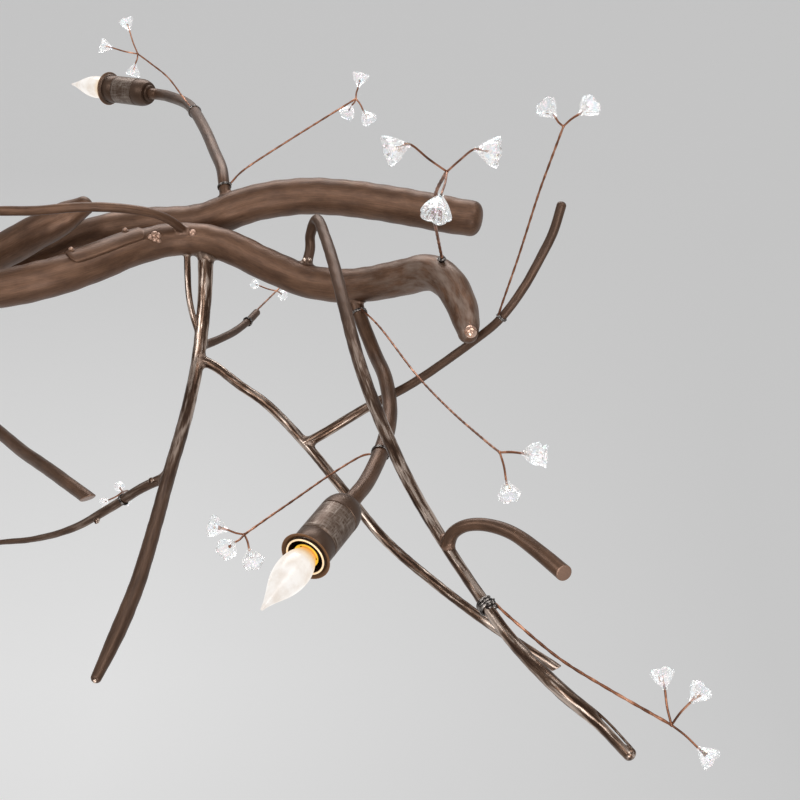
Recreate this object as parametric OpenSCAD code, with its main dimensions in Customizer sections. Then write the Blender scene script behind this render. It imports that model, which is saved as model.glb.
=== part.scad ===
// Branch chandelier: welded freeform trunks and twigs, four candle lamps, wire sprays with
// clear glass blossoms, hung on a stem that turns under a ceiling canopy.
// Millimetres, +Z up. The origin is the centre of the crossbar's top face, at the ceiling.
// The left half is the right half turned 180 degrees about the stem.

/* [Spread] */
// Distance between the middles of the outermost blossoms, left to right
span = 1444; // [1370:1:1540]
// Distance between the ends of the two arched twigs, front to back
depth = 1180; // [1120:1:1260]
// Depth of the lowest blossom's middle below the trunks' middle
branch_drop = 390; // [365:1:420]

/* [Suspension] */
// Length of the crossbar in the ceiling canopy
crossbar_l = 114; // [104:1:124]
// Width of the crossbar
crossbar_w = 22; // [18:1:30]
// Thickness of the crossbar
crossbar_t = 3; // [2:0.5:5]
// Distance between the crossbar's two ceiling holes
ceiling_hole_pitch = 88.9; // [70:0.1:92]
// Diameter of the ceiling holes
ceiling_hole_d = 5; // [4:0.1:6]
// Outer diameter of the threaded nipple
nipple_d = 10; // [9:0.5:12]
// Diameter of the canopy at the ceiling
canopy_d = 140; // [130:1:160]
// Height of the canopy
canopy_h = 26; // [20:1:40]
// Sheet thickness of the canopy
canopy_t = 1.5; // [1:0.1:2.5]
// Diameter of the knurled nut under the canopy
canopy_nut_d = 28; // [24:1:36]
// Height of the knurled nut
canopy_nut_h = 8; // [6:1:14]
// Diameter of the swivel housing
swivel_d = 24; // [20:1:30]
// Height of the swivel housing
swivel_h = 26; // [22:1:36]
// Outer diameter of the stem
stem_d = 12.7; // [10:0.1:14]
// Height of the hub below the ceiling, at the middle of the trunks
hub_drop = 455; // [420:5:600]
// Height of the hub boss that the upper trunks are welded to
hub_h = 56; // [50:1:70]

/* [Trunks] */
// Diameter of the two upper trunks
upper_trunk_d = 40; // [34:1:42]
// Diameter of the two lower trunks
lower_trunk_d = 36; // [32:1:38]
// Diameter of the bead brazed to the tip of a lower trunk
tip_bead_d = 10; // [7:0.5:12]
// Thickness of the wireway cover
cover_t = 1.6; // [1:0.1:3]
// Angle that the wireway cover takes up round its trunk
cover_angle = 76; // [50:1:100]
// Head diameter of the cover screws
screw_head_d = 6; // [5:0.5:8]
// Shank diameter of the cover screws
screw_d = 3; // [2:0.5:4]
// Length of the screw shanks under the cover
screw_l = 6; // [4:0.5:10]

/* [Twigs] */
// Diameter of the tie branches
tie_d = 10; // [7:0.5:12]
// Diameter of the hanging twigs
hanging_d = 14; // [12:0.5:16]
// Diameter of the thin rods beside the hanging twigs
side_rod_d = 6; // [4:0.5:8]
// Diameter of the long twigs
long_d = 10; // [8:0.5:11]
// Diameter of the rising twigs
rising_d = 8.5; // [7:0.5:9.5]
// Diameter of the arched twigs
arched_d = 11.5; // [9:0.5:13]
// Diameter of the hook twigs on the arched twigs
hook_d = 11.5; // [8:0.5:13]
// Diameter of the low rods
low_rod_d = 13; // [9:0.5:14]
// Diameter of the low twigs
low_twig_d = 10; // [7:0.5:12]
// Diameter of the short rear twigs
stub_d = 9; // [7:0.5:11]

/* [Lamps] */
// Diameter of the lamp arms
arm_d = 14.5; // [12:0.5:16]
// Outer diameter of a lamp cup
cup_d = 37; // [35:0.5:42]
// Length of a lamp cup, shoulder and all
cup_l = 76; // [72:1:88]
// Length of the rounded shoulder
shoulder_l = 18; // [14:1:22]
// Wall of a lamp cup
cup_wall = 1.5; // [1:0.1:2]
// Outer diameter of the brass ring at the mouth
ring_d = 44; // [42:0.5:50]
// Height of the brass ring beyond the mouth
ring_h = 4; // [3:0.5:6]
// Wall of the brass sleeve inside the mouth
sleeve_wall = 0.8; // [0.6:0.1:1.2]
// Depth of the brass sleeve inside the mouth
sleeve_l = 14; // [10:1:22]
// Outer diameter of the candelabra socket
socket_d = 22; // [18:0.5:24]
// Length of the socket's body
socket_l = 34; // [26:1:38]
// Depth of the bulb's mouth below the end of the brass ring
bulb_depth = 10; // [6:1:14]
// Diameter of the bulb's screw base
base_d = 12; // [11:0.1:13]
// Length of the bulb's screw base
base_l = 17; // [14:0.5:20]
// Largest diameter of the glass
bulb_d = 30; // [27:0.5:33]
// Length of the glass, to the tip
bulb_l = 84; // [70:1:96]

/* [Sprays] */
// Diameter of the copper wire
wire_d = 1.7; // [1.2:0.1:2.2]
// Diameter of the wire rings round the twigs
wrap_d = 2.2; // [1.5:0.1:3]
// Wall of a glass blossom
glass_t = 2.2; // [1.5:0.1:3]
// Clearance round the wire in a blossom's bore
bore_gap = 0.3; // [0.1:0.05:0.5]

/* [Fits] */
// Gap where one piece seats on another
seat = 0.2; // [0.1:0.05:0.3]
// Radial clearance of turned pieces that slip into each other
slip = 0.15; // [0.1:0.05:0.3]
// Extra relief of a saddle cut, for the carrier's bend
bend_relief = 0.25; // [0.1:0.05:0.4]

/* [Hidden] */
bronze = [0.33, 0.24, 0.19];
dark_bronze = [0.24, 0.17, 0.13];
copper = [0.68, 0.40, 0.27];
brass = [0.80, 0.62, 0.30];
glass = [0.92, 0.94, 0.98, 0.6];
porcelain = [0.90, 0.89, 0.86];

round_fn = 64;
trunk_sides = 16;
twig_sides = 8;
wire_sides = 5;
dome_rings = 3;
dome_angle = 84;
open_end = 0;
full_end = 1;
round_end = 0.8;
soft_end = 0.6;

LAMPS = [0, 1, 2, 3];

// ---- Routes -------------------------------------------------------------------------------
// A route is a list of [x, y, z, k]: points on the centreline, and the share k of the
// branch's diameter at each one. Places on a route are counted in points, as in 2.5.

// Places where branches are joined to their carriers
lower_on_upper = 4.6;
tie_on_upper = 5.2;
tie_on_lower = 7.3;
hanging_on_lower = 7.6;
side_on_lower = 7.15;
side_on_hanging = 2.2;
long_on_hanging = 2.7;
low_twig_on_hanging = 5;
stub_on_hanging = 2.35;
rising_on_long = 3.93;
arched_on_lower = 9.9;
hook_on_arched = 10.3;
low_rod_on_upper = 4.1;
front_arm_on_lower = 11;
rear_arm_on_upper = 9.55;

// The routes are laid out for the first spread below, and stretched from there to the chosen one
laid_spread = [1444, 1180, 390];
stretch = [span / laid_spread[0], depth / laid_spread[1], branch_drop / laid_spread[2]];
function placed(p) = [p[0] * stretch[0], p[1] * stretch[1], p[2] * stretch[2]];
function laid(list) = [for (p = list) concat(placed(p), [p[3]])];

function xyz(p) = [p[0], p[1], p[2]];
function unit(v) = v / norm(v);
function turn(p) = [-p[0], -p[1], p[2], p[3]];
function spline(a, b, c, d, u) =
    0.5 * (2 * b + (c - a) * u + (2 * a - 5 * b + 4 * c - d) * u * u + (3 * b - a - 3 * c + d) * u * u * u);
function before(r, i) = i > 0 ? r[i - 1] : 2 * r[0] - r[1];
function after(r, i) = i < len(r) - 1 ? r[i + 1] : 2 * r[i] - r[i - 1];
function at(r, t) =
    let (i = min(floor(t), len(r) - 2))
    spline(before(r, i), r[i], r[i + 1], after(r, i + 1), t - i);
function along(r, t) =
    let (h = 0.02, last = len(r) - 1)
    unit(xyz(at(r, min(t + h, last))) - xyz(at(r, max(t - h, 0))));
// The point of a carrier where a branch starts, with the branch's own share of its diameter
function foot(r, t, k) = concat(xyz(at(r, t)), [k]);

upper_route = laid([
    [-173, 105, 68, 0.52], [-150, 103, 55, 0.82], [-118, 98, 39, 0.92], [-60, 74, 14, 0.97],
    [0, 38, 0, 1], [50, 2, 3, 1], [106, -33, 15, 1], [166, -40, 43, 1], [225, -42, 54, 1],
    [285, -45, 58, 1], [341, -50, 77, 1], [396, -52, 85, 1], [450, -55, 82, 1], [506, -60, 73, 1],
    [545, -65, 65, 1], [577, -69, 59, 0.97]]);
lower_route = concat([turn(foot(upper_route, lower_on_upper, 0.95))], laid([
    [-22, -66, -13, 0.97], [15, -118, -25, 1], [70, -148, -27, 1.05], [134, -150, -15, 1.12],
    [181, -130, 2, 1.08], [226, -102, 24, 1.02], [270, -87, 35, 0.98], [315, -87, 29, 0.98],
    [360, -96, 8, 0.98], [405, -107, -11, 0.98], [452, -120, -17, 1], [500, -148, -12, 1.04],
    [530, -172, -8, 1.06], [549, -194, -20, 1.05], [559, -210, -42, 0.98], [565, -221, -60, 0.82],
    [567, -229, -71, 0.62]]));
tie_route = concat([turn(foot(upper_route, tie_on_upper, 1.15))], laid([
    [-40, -50, 37, 1], [20, -118, 53, 1], [85, -155, 55, 1], [136, -162, 55, 1], [187, -160, 59, 1],
    [234, -145, 58, 0.95], [262, -120, 52, 0.92]]), [foot(lower_route, tie_on_lower, 0.92)]);
hanging_route = concat([foot(lower_route, hanging_on_lower, 1.3)], laid([
    [296, -86, -19, 1.1], [293, -92, -65, 1.04], [289, -104, -105, 1], [283, -140, -155, 1],
    [275, -195, -210, 0.98], [270, -245, -255, 1], [263, -295, -302, 1.05],
    [253, -337, -340, 1.04], [242, -374, -373, 0.70]]));
side_rod_route = [
    foot(lower_route, side_on_lower, 1.1), laid([[280, -90, -28, 1]])[0], foot(hanging_route, side_on_hanging, 0.9)];
long_route = concat([foot(hanging_route, long_on_hanging, 1.2)], laid([
    [309, -105, -100, 1.05], [337, -120, -120, 1], [369, -135, -142, 1], [410, -164, -182, 1],
    [450, -200, -227, 1], [488, -230, -269, 1], [534, -265, -305, 0.95], [583, -300, -338, 0.92],
    [640, -340, -371, 0.90]]));
arched_route = concat([foot(lower_route, arched_on_lower, 1.1)], laid([
    [408, -106, 21, 0.95], [409, -112, 37, 0.95], [417, -130, 50, 1], [427, -160, 28, 1.02],
    [438, -200, -5, 1.06], [449, -243, -45, 1.08], [464, -292, -98, 1.08], [482, -335, -146, 1.06],
    [507, -380, -200, 1], [532, -420, -242, 0.92], [560, -460, -283, 0.86], [589, -500, -321, 0.90],
    [620, -540, -349, 1.03], [646, -565, -368, 0.95], [665, -590, -386, 0.88]]));
hook_route = concat([foot(arched_route, hook_on_arched, 1.1)], laid([
    [545, -438, -243, 0.95], [556, -446, -236, 0.92], [572, -454, -235, 0.95],
    [590, -465, -240, 1], [607, -477, -251, 1.08], [629, -494, -269, 1.18]]));
low_rod_route = concat([turn(foot(upper_route, low_rod_on_upper, 1.1))], laid([
    [22, -64, -60, 1.02], [66, -118, -142, 1], [120, -185, -178, 1], [172, -250, -201, 1],
    [219, -300, -224, 0.98], [227, -308, -228, 0.98]]));
low_twig_route = concat([foot(hanging_route, low_twig_on_hanging, 1.1)], laid([
    [247, -184, -222, 1], [213, -160, -242, 0.95], [168, -130, -266, 0.80], [122, -100, -280, 0.68],
    [75, -70, -287, 0.60]]));
stub_route = concat([foot(hanging_route, stub_on_hanging, 1.1)], laid([
    [307, -70, -71, 1], [321, -40, -61, 0.97], [333, -10, -48, 0.95], [341, 14, -36, 0.95]]));

// The rising twig passes behind the round end of the lower trunk and is brazed to it. The bead
// sits on the front of that end.
tip = lower_route[len(lower_route) - 1];
tip_r = tip[3] * lower_trunk_d / 2;
bead_side = unit([0.25, -0.96, 0.1]);
bead_at = xyz(tip) + bead_side * tip_r * 0.85;
behind_tip = unit([0.608, 0.72, -0.33]);
rising_touch = xyz(tip) + behind_tip * (tip_r + rising_d / 2 + seat);
rising_route = concat([foot(long_route, rising_on_long, 1.25)], laid([
    [430, -166, -166, 1.2], [468, -168, -143, 1.15], [517, -190, -117, 1.05]]),
    [concat(rising_touch, [1])], laid([
    [599, -234, -56, 1], [619, -241, -29, 1.03], [635, -248, 0, 1.05], [646, -254, 23, 1.08],
    [653, -260, 47, 1.10]]));

// Each lamp has the middle of its cup's back face and the direction that it points in
front_neck = placed([457, -348.5, -226.3]);
front_dir = unit([-0.419, -0.769, -0.484]);
rear_neck = placed([160.7, 363.2, 284.9]);
rear_dir = unit([-0.823, 0.532, 0.201]);
arm_lead = 8;
arm_share = 1.04;
function arm_end(p, dir) = [for (n = [2, 1, 0]) concat(p - dir * arm_lead * n, [arm_share])];
front_arm_route = concat([foot(lower_route, front_arm_on_lower, 1.08)], laid([
    [460, -127, -46, 1], [476, -155, -87, 1], [487, -190, -112, 1], [492, -219, -138, 1],
    [491, -247, -160, 1.02], [484, -277, -184, 1.04],
    [473, -312, -207, 1.04]]), arm_end(front_neck, front_dir));
rear_arm_route = concat([foot(upper_route, rear_arm_on_upper, 1.02)], laid([
    [311, -42, 97, 0.88], [305, -18, 121, 0.88], [292, 25, 146, 0.9], [273, 90, 182, 0.92],
    [247, 180, 223, 0.96], [221, 275, 254, 1], [190, 330, 274, 1.03]]), arm_end(rear_neck, rear_dir));

// ---- Swept tubes --------------------------------------------------------------------------

// Stations are [point, radius] pairs; a dome adds a few smaller rings past the route's end
function dome(p, dir, r, bulge) = [for (j = [1:dome_rings])
    let (a = dome_angle * j / dome_rings)
    [p + dir * r * bulge * sin(a), r * cos(a)]];
function backwards(list) = [for (i = [len(list) - 1:-1:0]) list[i]];
function stations(r, d, steps, t0, t1, bulge_a, bulge_b) =
    let (
        body = [for (i = [0:steps]) let (q = at(r, t0 + (t1 - t0) * i / steps)) [xyz(q), q[3] * d / 2]],
        first = body[0],
        last = body[steps])
    concat(
        bulge_a > 0 ? backwards(dome(first[0], -along(r, t0), first[1], bulge_a)) : [],
        body,
        bulge_b > 0 ? dome(last[0], along(r, t1), last[1], bulge_b) : []);
function tangents(s) =
    let (n = len(s) - 1)
    [for (i = [0:n]) unit(s[min(i + 1, n)][0] - s[max(i - 1, 0)][0])];
function normals(t, i, u) =
    i == len(t) ? [] : let (v = unit(u - (u * t[i]) * t[i])) concat([v], normals(t, i + 1, v));

// A tube whose rings have the outline [radius factor, added radius, angle] round each station
module skin(s, outline, start) {
    t = tangents(s);
    v = normals(t, 0, start);
    m = len(outline);
    n = len(s);
    points = [for (i = [0:n - 1]) for (o = outline)
        let (w = cross(t[i], v[i]), r = s[i][1] * o[0] + o[1])
        s[i][0] + (v[i] * cos(o[2]) + w * sin(o[2])) * r];
    sides = [for (i = [0:n - 2]) for (j = [0:m - 1])
        let (a = i * m + j, b = i * m + (j + 1) % m)
        for (f = [[a, a + m, b + m], [a, b + m, b]]) f];
    lid = [for (j = [0:m - 1]) j];
    polyhedron(points, concat(sides, [lid, [for (j = lid) n * m - 1 - j]]));
}

// Direction of the first corner of every ring
ring_start = [0.13, 0.97, 0.21];
function circle_outline(sides) = [for (j = [0:sides - 1]) [1, 0, 360 * j / sides]];

module branch(r, d, sides, steps, bulge_a = open_end, bulge_b = open_end) {
    skin(stations(r, d, steps, 0, len(r) - 1, bulge_a, bulge_b), circle_outline(sides), ring_start);
}

// A round saddle cut: the carrier's own tube at place t, larger by the seat, and cut over a
// length that suits a branch that leaves square, one that leaves at a slant, or a trunk
square_cope = 60;
slant_cope = 90;
trunk_cope = 140;
module saddle(r, t, d, reach) {
    p = at(r, t);
    q = along(r, t);
    translate(xyz(p))
        rotate([0, acos(q[2]), atan2(q[1], q[0])])
            cylinder(d = p[3] * d + 2 * (seat + bend_relief), h = reach, center = true, $fn = round_fn);
}

module left_half() {
    rotate([0, 0, 180]) children();
}

module at_hub() {
    translate([0, 0, -hub_drop]) children();
}

// A cylinder between two points
module rod(a, b, d) {
    q = unit(b - a);
    translate(a)
        rotate([0, acos(q[2]), atan2(q[1], q[0])])
            cylinder(d = d, h = norm(b - a), $fn = round_fn);
}

// ---- Suspension ---------------------------------------------------------------------------

nipple_bore = 6;
nipple_grip = 12;
nipple_l = crossbar_t + canopy_h + canopy_nut_h + nipple_grip;
canopy_floor = -canopy_h;
nut_top = canopy_floor - seat;
swivel_top = nut_top - canopy_nut_h - seat;
spindle_gap = 0.3;
housing_wall = 4;
spindle_head_d = swivel_d - 2 * housing_wall;
spindle_head_h = 6;
housing_lip = 3;
spindle_neck_d = 9;
spindle_rest = 6;
spindle_flange_h = 4;
stem_wall = 1.5;
stem_top = swivel_top - swivel_h - spindle_rest;
hub_top = -hub_drop + hub_h / 2;
// The boss fills the room between the two upper trunks where they pass each other
hub_plan = min([for (t = [3:0.05:5.5])
    let (p = at(upper_route, t)) norm([p[0], p[1]]) - p[3] * upper_trunk_d / 2]);
hub_d = 2 * (hub_plan - seat);
stem_seat = 24;

module crossbar() {
    color("silver")
    difference() {
        translate([-crossbar_l / 2, -crossbar_w / 2, -crossbar_t])
            cube([crossbar_l, crossbar_w, crossbar_t]);
        translate([0, 0, -crossbar_t - 1])
            cylinder(d = nipple_d + 2 * slip, h = crossbar_t + 2, $fn = round_fn);
        for (side = [-1, 1])
            translate([side * ceiling_hole_pitch / 2, 0, -crossbar_t - 1])
                cylinder(d = ceiling_hole_d, h = crossbar_t + 2, $fn = round_fn);
    }
}

module nipple() {
    color("silver")
    translate([0, 0, -nipple_l])
        difference() {
            cylinder(d = nipple_d, h = nipple_l, $fn = round_fn);
            translate([0, 0, -1])
                cylinder(d = nipple_bore, h = nipple_l + 2, $fn = round_fn);
        }
}

// The canopy is a spun dish: a short flat floor, a round shoulder and a rolled rim
module canopy() {
    shoulder = canopy_h - canopy_t;
    flare = 1.6;
    floor_r = canopy_d / 2 - shoulder * flare;
    steps = 10;
    outer = [for (i = [0:steps]) let (a = 90 * i / steps)
        [floor_r + (canopy_d / 2 - floor_r) * sin(a), -canopy_h + shoulder * (1 - cos(a))]];
    inner = [for (i = [steps:-1:0]) let (a = 90 * i / steps)
        [floor_r + (canopy_d / 2 - canopy_t - floor_r) * sin(a), -canopy_h + canopy_t + shoulder * (1 - cos(a))]];
    color(bronze)
    rotate_extrude($fn = round_fn)
        polygon(concat([[nipple_d / 2 + slip, -canopy_h]], outer, [[canopy_d / 2, 0], [canopy_d / 2 - canopy_t, 0]],
                       inner, [[nipple_d / 2 + slip, -canopy_h + canopy_t]]));
}

module canopy_nut() {
    flutes = 20;
    flute_r = 1.5;
    color(bronze)
    difference() {
        translate([0, 0, nut_top - canopy_nut_h])
            cylinder(d = canopy_nut_d, h = canopy_nut_h, $fn = round_fn);
        translate([0, 0, nut_top - canopy_nut_h - 1])
            cylinder(d = nipple_d + 2 * slip, h = canopy_nut_h + 2, $fn = round_fn);
        for (i = [0:flutes - 1])
            rotate([0, 0, 360 * i / flutes])
                translate([canopy_nut_d / 2 + flute_r / 3, 0, nut_top - canopy_nut_h - 1])
                    cylinder(r = flute_r, h = canopy_nut_h + 2, $fn = 24);
    }
}

// The swivel housing screws onto the nipple and holds the spindle's head over an inner lip
module swivel_housing() {
    nipple_end = -nipple_l;
    color(bronze)
    difference() {
        translate([0, 0, swivel_top - swivel_h])
            cylinder(d = swivel_d, h = swivel_h, $fn = round_fn);
        translate([0, 0, nipple_end - seat])
            cylinder(d = nipple_d + 2 * slip, h = nipple_l, $fn = round_fn);
        translate([0, 0, swivel_top - swivel_h + housing_lip])
            cylinder(d = spindle_head_d + 2 * spindle_gap, h = spindle_head_h + 2 * spindle_gap, $fn = round_fn);
        translate([0, 0, swivel_top - swivel_h - 1])
            cylinder(d = spindle_neck_d + 2 * spindle_gap, h = swivel_h, $fn = round_fn);
    }
}

module swivel_spindle() {
    head_z = swivel_top - swivel_h + housing_lip + spindle_gap;
    color(dark_bronze)
    union() {
        translate([0, 0, head_z])
            cylinder(d = spindle_head_d, h = spindle_head_h, $fn = round_fn);
        translate([0, 0, stem_top])
            cylinder(d = spindle_neck_d, h = head_z - stem_top + 1, $fn = round_fn);
        translate([0, 0, stem_top])
            cylinder(d = stem_d + 2 * stem_wall, h = spindle_flange_h, $fn = round_fn);
    }
}

module stem() {
    color(bronze)
    difference() {
        translate([0, 0, hub_top - stem_seat])
            cylinder(d = stem_d, h = stem_top - seat - hub_top + stem_seat, $fn = round_fn);
        translate([0, 0, hub_top - stem_seat - 1])
            cylinder(d = stem_d - 2 * stem_wall, h = stem_top - hub_top + stem_seat + 2, $fn = round_fn);
    }
}

module hub_boss() {
    color(bronze)
    difference() {
        translate([0, 0, hub_top - hub_h])
            cylinder(d = hub_d, h = hub_h, $fn = round_fn);
        translate([0, 0, hub_top - stem_seat - seat])
            cylinder(d = stem_d + 2 * slip, h = stem_seat + 1, $fn = round_fn);
    }
}

module hub_finial() {
    finial_h = 14;
    rim_h = 3;
    cap_h = finial_h - rim_h - 1;
    color(bronze)
    translate([0, 0, hub_top - hub_h - seat])
        mirror([0, 0, 1])
            rotate_extrude($fn = round_fn)
                polygon(concat([[0, 0], [hub_d / 2, 0], [hub_d / 2, rim_h]],
                    [for (a = [0:15:90]) [hub_d * 0.4 * cos(a), rim_h + 1 + cap_h * sin(a)]]));
}

// ---- Trunks -------------------------------------------------------------------------------

cover_from = 4.7;
cover_to = 6.55;
cover_side = unit([0, -0.62, 0.78]);
screw_inset = 0.11;
screw_places = [cover_from + screw_inset, cover_to - screw_inset];

module upper_trunk() {
    at_hub()
        branch(upper_route, upper_trunk_d, trunk_sides, 30, round_end, soft_end);
}

// Frame of a cover screw: it stands square on the trunk, in the middle of the cover
module at_screw(t) {
    p = at(lower_route, t);
    q = along(lower_route, t);
    n = unit(cover_side - (cover_side * q) * q);
    translate(xyz(p) + n * p[3] * lower_trunk_d / 2)
        rotate([0, acos(n[2]), atan2(n[1], n[0])])
            children();
}

module lower_trunk() {
    at_hub()
        difference() {
            union() {
                branch(lower_route, lower_trunk_d, trunk_sides, 34, open_end, full_end);
                translate(bead_at)
                    sphere(d = tip_bead_d, $fn = 32);
            }
            rotate([0, 0, 180]) saddle(upper_route, lower_on_upper, upper_trunk_d, trunk_cope);
            for (t = screw_places)
                at_screw(t)
                    translate([0, 0, -screw_l - 1])
                        cylinder(d = screw_d + 2 * slip, h = screw_l + 3, $fn = round_fn);
        }
}

module tie_branch() {
    at_hub()
        difference() {
            branch(tie_route, tie_d, twig_sides, 18);
            rotate([0, 0, 180]) saddle(upper_route, tie_on_upper, upper_trunk_d, slant_cope);
            saddle(lower_route, tie_on_lower, lower_trunk_d, slant_cope);
        }
}

module wireway_cover() {
    arc = [for (a = [-0.5:0.125:0.5]) a * cover_angle];
    outline = concat([for (a = arc) [1, cover_t + seat, a]], [for (a = backwards(arc)) [1, seat, a]]);
    at_hub()
        difference() {
            skin(stations(lower_route, lower_trunk_d, 8, cover_from, cover_to, open_end, open_end),
                 outline, cover_side);
            for (t = screw_places)
                at_screw(t)
                    cylinder(d = screw_d + 2 * slip, h = 3 * cover_t, $fn = round_fn);
        }
}

module cover_screw(t) {
    head_z = cover_t + 3 * seat;
    rim_h = 0.6;
    crown_h = screw_head_d / 4;
    at_screw(t)
        rotate_extrude($fn = 32)
            polygon(concat([[0, -screw_l], [screw_d / 2, -screw_l], [screw_d / 2, head_z]],
                [for (a = [0:15:90]) [screw_head_d / 2 * cos(a), head_z + rim_h + crown_h * sin(a)]]));
}

module cover_screws() {
    color(copper)
    at_hub()
        for (angle = [0, 180], t = screw_places)
            rotate([0, 0, angle])
                cover_screw(t);
}

// ---- Twigs --------------------------------------------------------------------------------

module hanging_twig() {
    at_hub()
        difference() {
            branch(hanging_route, hanging_d, 10, 20, open_end, round_end);
            saddle(lower_route, hanging_on_lower, lower_trunk_d, square_cope);
        }
}

module side_rod() {
    at_hub()
        difference() {
            branch(side_rod_route, side_rod_d, twig_sides, 8);
            saddle(lower_route, side_on_lower, lower_trunk_d, square_cope);
            saddle(hanging_route, side_on_hanging, hanging_d, slant_cope);
        }
}

module long_twig() {
    at_hub()
        difference() {
            branch(long_route, long_d, twig_sides, 18);
            saddle(hanging_route, long_on_hanging, hanging_d, square_cope);
        }
}

module rising_twig() {
    at_hub()
        difference() {
            branch(rising_route, rising_d, twig_sides, 18, open_end, round_end);
            saddle(long_route, rising_on_long, long_d, square_cope);
        }
}

module arched_twig() {
    at_hub()
        difference() {
            branch(arched_route, arched_d, twig_sides, 30);
            saddle(lower_route, arched_on_lower, lower_trunk_d, square_cope);
        }
}

module hook_twig() {
    at_hub()
        difference() {
            branch(hook_route, hook_d, twig_sides, 12);
            saddle(arched_route, hook_on_arched, arched_d, square_cope);
        }
}

// The low rod is cut off at a slant, with the cut facing down and forward
low_rod_cut = unit([0.25, -0.25, -0.94]);

module low_rod() {
    at_hub()
        difference() {
            branch(low_rod_route, low_rod_d, twig_sides, 11);
            rotate([0, 0, 180]) saddle(upper_route, low_rod_on_upper, upper_trunk_d, square_cope);
            translate(xyz(low_rod_route[len(low_rod_route) - 2]))
                rotate([0, acos(low_rod_cut[2]), atan2(low_rod_cut[1], low_rod_cut[0])])
                    cylinder(d = 4 * low_rod_d, h = 2 * low_rod_d, $fn = 24);
        }
}

module low_twig() {
    at_hub()
        difference() {
            branch(low_twig_route, low_twig_d, twig_sides, 10, open_end, round_end);
            saddle(hanging_route, low_twig_on_hanging, hanging_d, square_cope);
        }
}

module stub_twig() {
    at_hub()
        difference() {
            branch(stub_route, stub_d, twig_sides, 8, open_end, round_end);
            saddle(hanging_route, stub_on_hanging, hanging_d, square_cope);
        }
}

module front_lamp_arm() {
    at_hub()
        difference() {
            branch(front_arm_route, arm_d, 10, 20);
            saddle(lower_route, front_arm_on_lower, lower_trunk_d, square_cope);
        }
}

module rear_lamp_arm() {
    at_hub()
        difference() {
            branch(rear_arm_route, arm_d, 10, 20);
            saddle(upper_route, rear_arm_on_upper, upper_trunk_d, square_cope);
        }
}

// ---- Lamps --------------------------------------------------------------------------------
// A lamp's pieces are turned about +Z from the cup's back face and then set on its arm

mouth_z = cup_l;
cup_floor = shoulder_l + 2;
cup_inner_r = cup_d / 2 - cup_wall;
sleeve_r = cup_inner_r - slip;
neck_step = 0.6;
rim_z = mouth_z + seat + ring_h;
bulb_z = rim_z - bulb_depth;
socket_top = bulb_z - seat;

module on_lamp(i) {
    p = i % 2 == 0 ? front_neck : rear_neck;
    q = i % 2 == 0 ? front_dir : rear_dir;
    rotate([0, 0, i < 2 ? 0 : 180])
        translate(p + q * seat + [0, 0, -hub_drop])
            rotate([0, acos(q[2]), atan2(q[1], q[0])])
                children();
}

module lamp_cup(i) {
    neck_r = arm_d * arm_share / 2 + neck_step;
    shoulder = [for (a = [0:10:90])
        [neck_r + (cup_d / 2 - neck_r) * sin(a), shoulder_l * (1 - cos(a))]];
    color(dark_bronze)
    on_lamp(i)
        rotate_extrude($fn = round_fn)
            polygon(concat([[0, 0]], shoulder, [
                [cup_d / 2, mouth_z], [cup_inner_r, mouth_z], [cup_inner_r, cup_floor], [0, cup_floor]]));
}

module lamp_ring(i) {
    sleeve_in = sleeve_r - sleeve_wall;
    base_z = mouth_z + seat;
    color(brass)
    on_lamp(i)
        rotate_extrude($fn = round_fn)
            polygon([
                [sleeve_in, mouth_z - sleeve_l], [sleeve_r, mouth_z - sleeve_l], [sleeve_r, base_z],
                [cup_d / 2 + 0.6, base_z], [ring_d / 2 - 0.8, base_z + ring_h * 0.45],
                [ring_d / 2, base_z + ring_h * 0.7], [ring_d / 2 - 0.4, rim_z], [ring_d / 2 - 2.2, rim_z],
                [sleeve_r + 1.2, base_z + ring_h * 0.55], [sleeve_in, base_z]]);
}

module lamp_socket(i) {
    riser_r = socket_d * 0.28;
    on_lamp(i)
        rotate_extrude($fn = round_fn)
            polygon([
                [0, cup_floor + seat], [riser_r, cup_floor + seat], [riser_r, socket_top - socket_l],
                [socket_d / 2, socket_top - socket_l + 2], [socket_d / 2, socket_top - 1],
                [socket_d / 2 - 1, socket_top], [base_d / 2 + slip, socket_top],
                [base_d / 2 + slip, socket_top - base_l - 2], [0, socket_top - base_l - 2]]);
}

module lamp_sockets() {
    color(porcelain)
    for (i = LAMPS)
        lamp_socket(i);
}

function curve(a, b, c, d, u) =
    pow(1 - u, 3) * a + 3 * u * pow(1 - u, 2) * b + 3 * u * u * (1 - u) * c + pow(u, 3) * d;

// The bulb: screw base, then a glass flame with its widest place a third of the way up
module bulb(i) {
    r = bulb_d / 2;
    neck = base_d / 2 + 1.2;
    tip_r = 1.3;
    wide = bulb_l * 0.38;
    lower = [for (u = [0:0.125:1])
        curve([neck, 0], [neck, wide * 0.35], [r, wide * 0.4], [r, wide], u)];
    upper = [for (u = [0.1:0.1:1])
        curve([r, wide], [r, bulb_l * 0.62], [tip_r * 4, bulb_l * 0.76], [tip_r, bulb_l - tip_r], u)];
    color(glass)
    on_lamp(i)
        translate([0, 0, bulb_z])
            rotate_extrude($fn = round_fn)
                polygon(concat([[0, -base_l], [base_d / 2, -base_l], [base_d / 2, 0]], lower, upper,
                               [[0, bulb_l]]));
}

// ---- Sprays -------------------------------------------------------------------------------
// [carrier, place, carrier diameter, points to the fork, middles of the three blossoms, their size],
// where the points and the middles are laid out as the routes are

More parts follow.
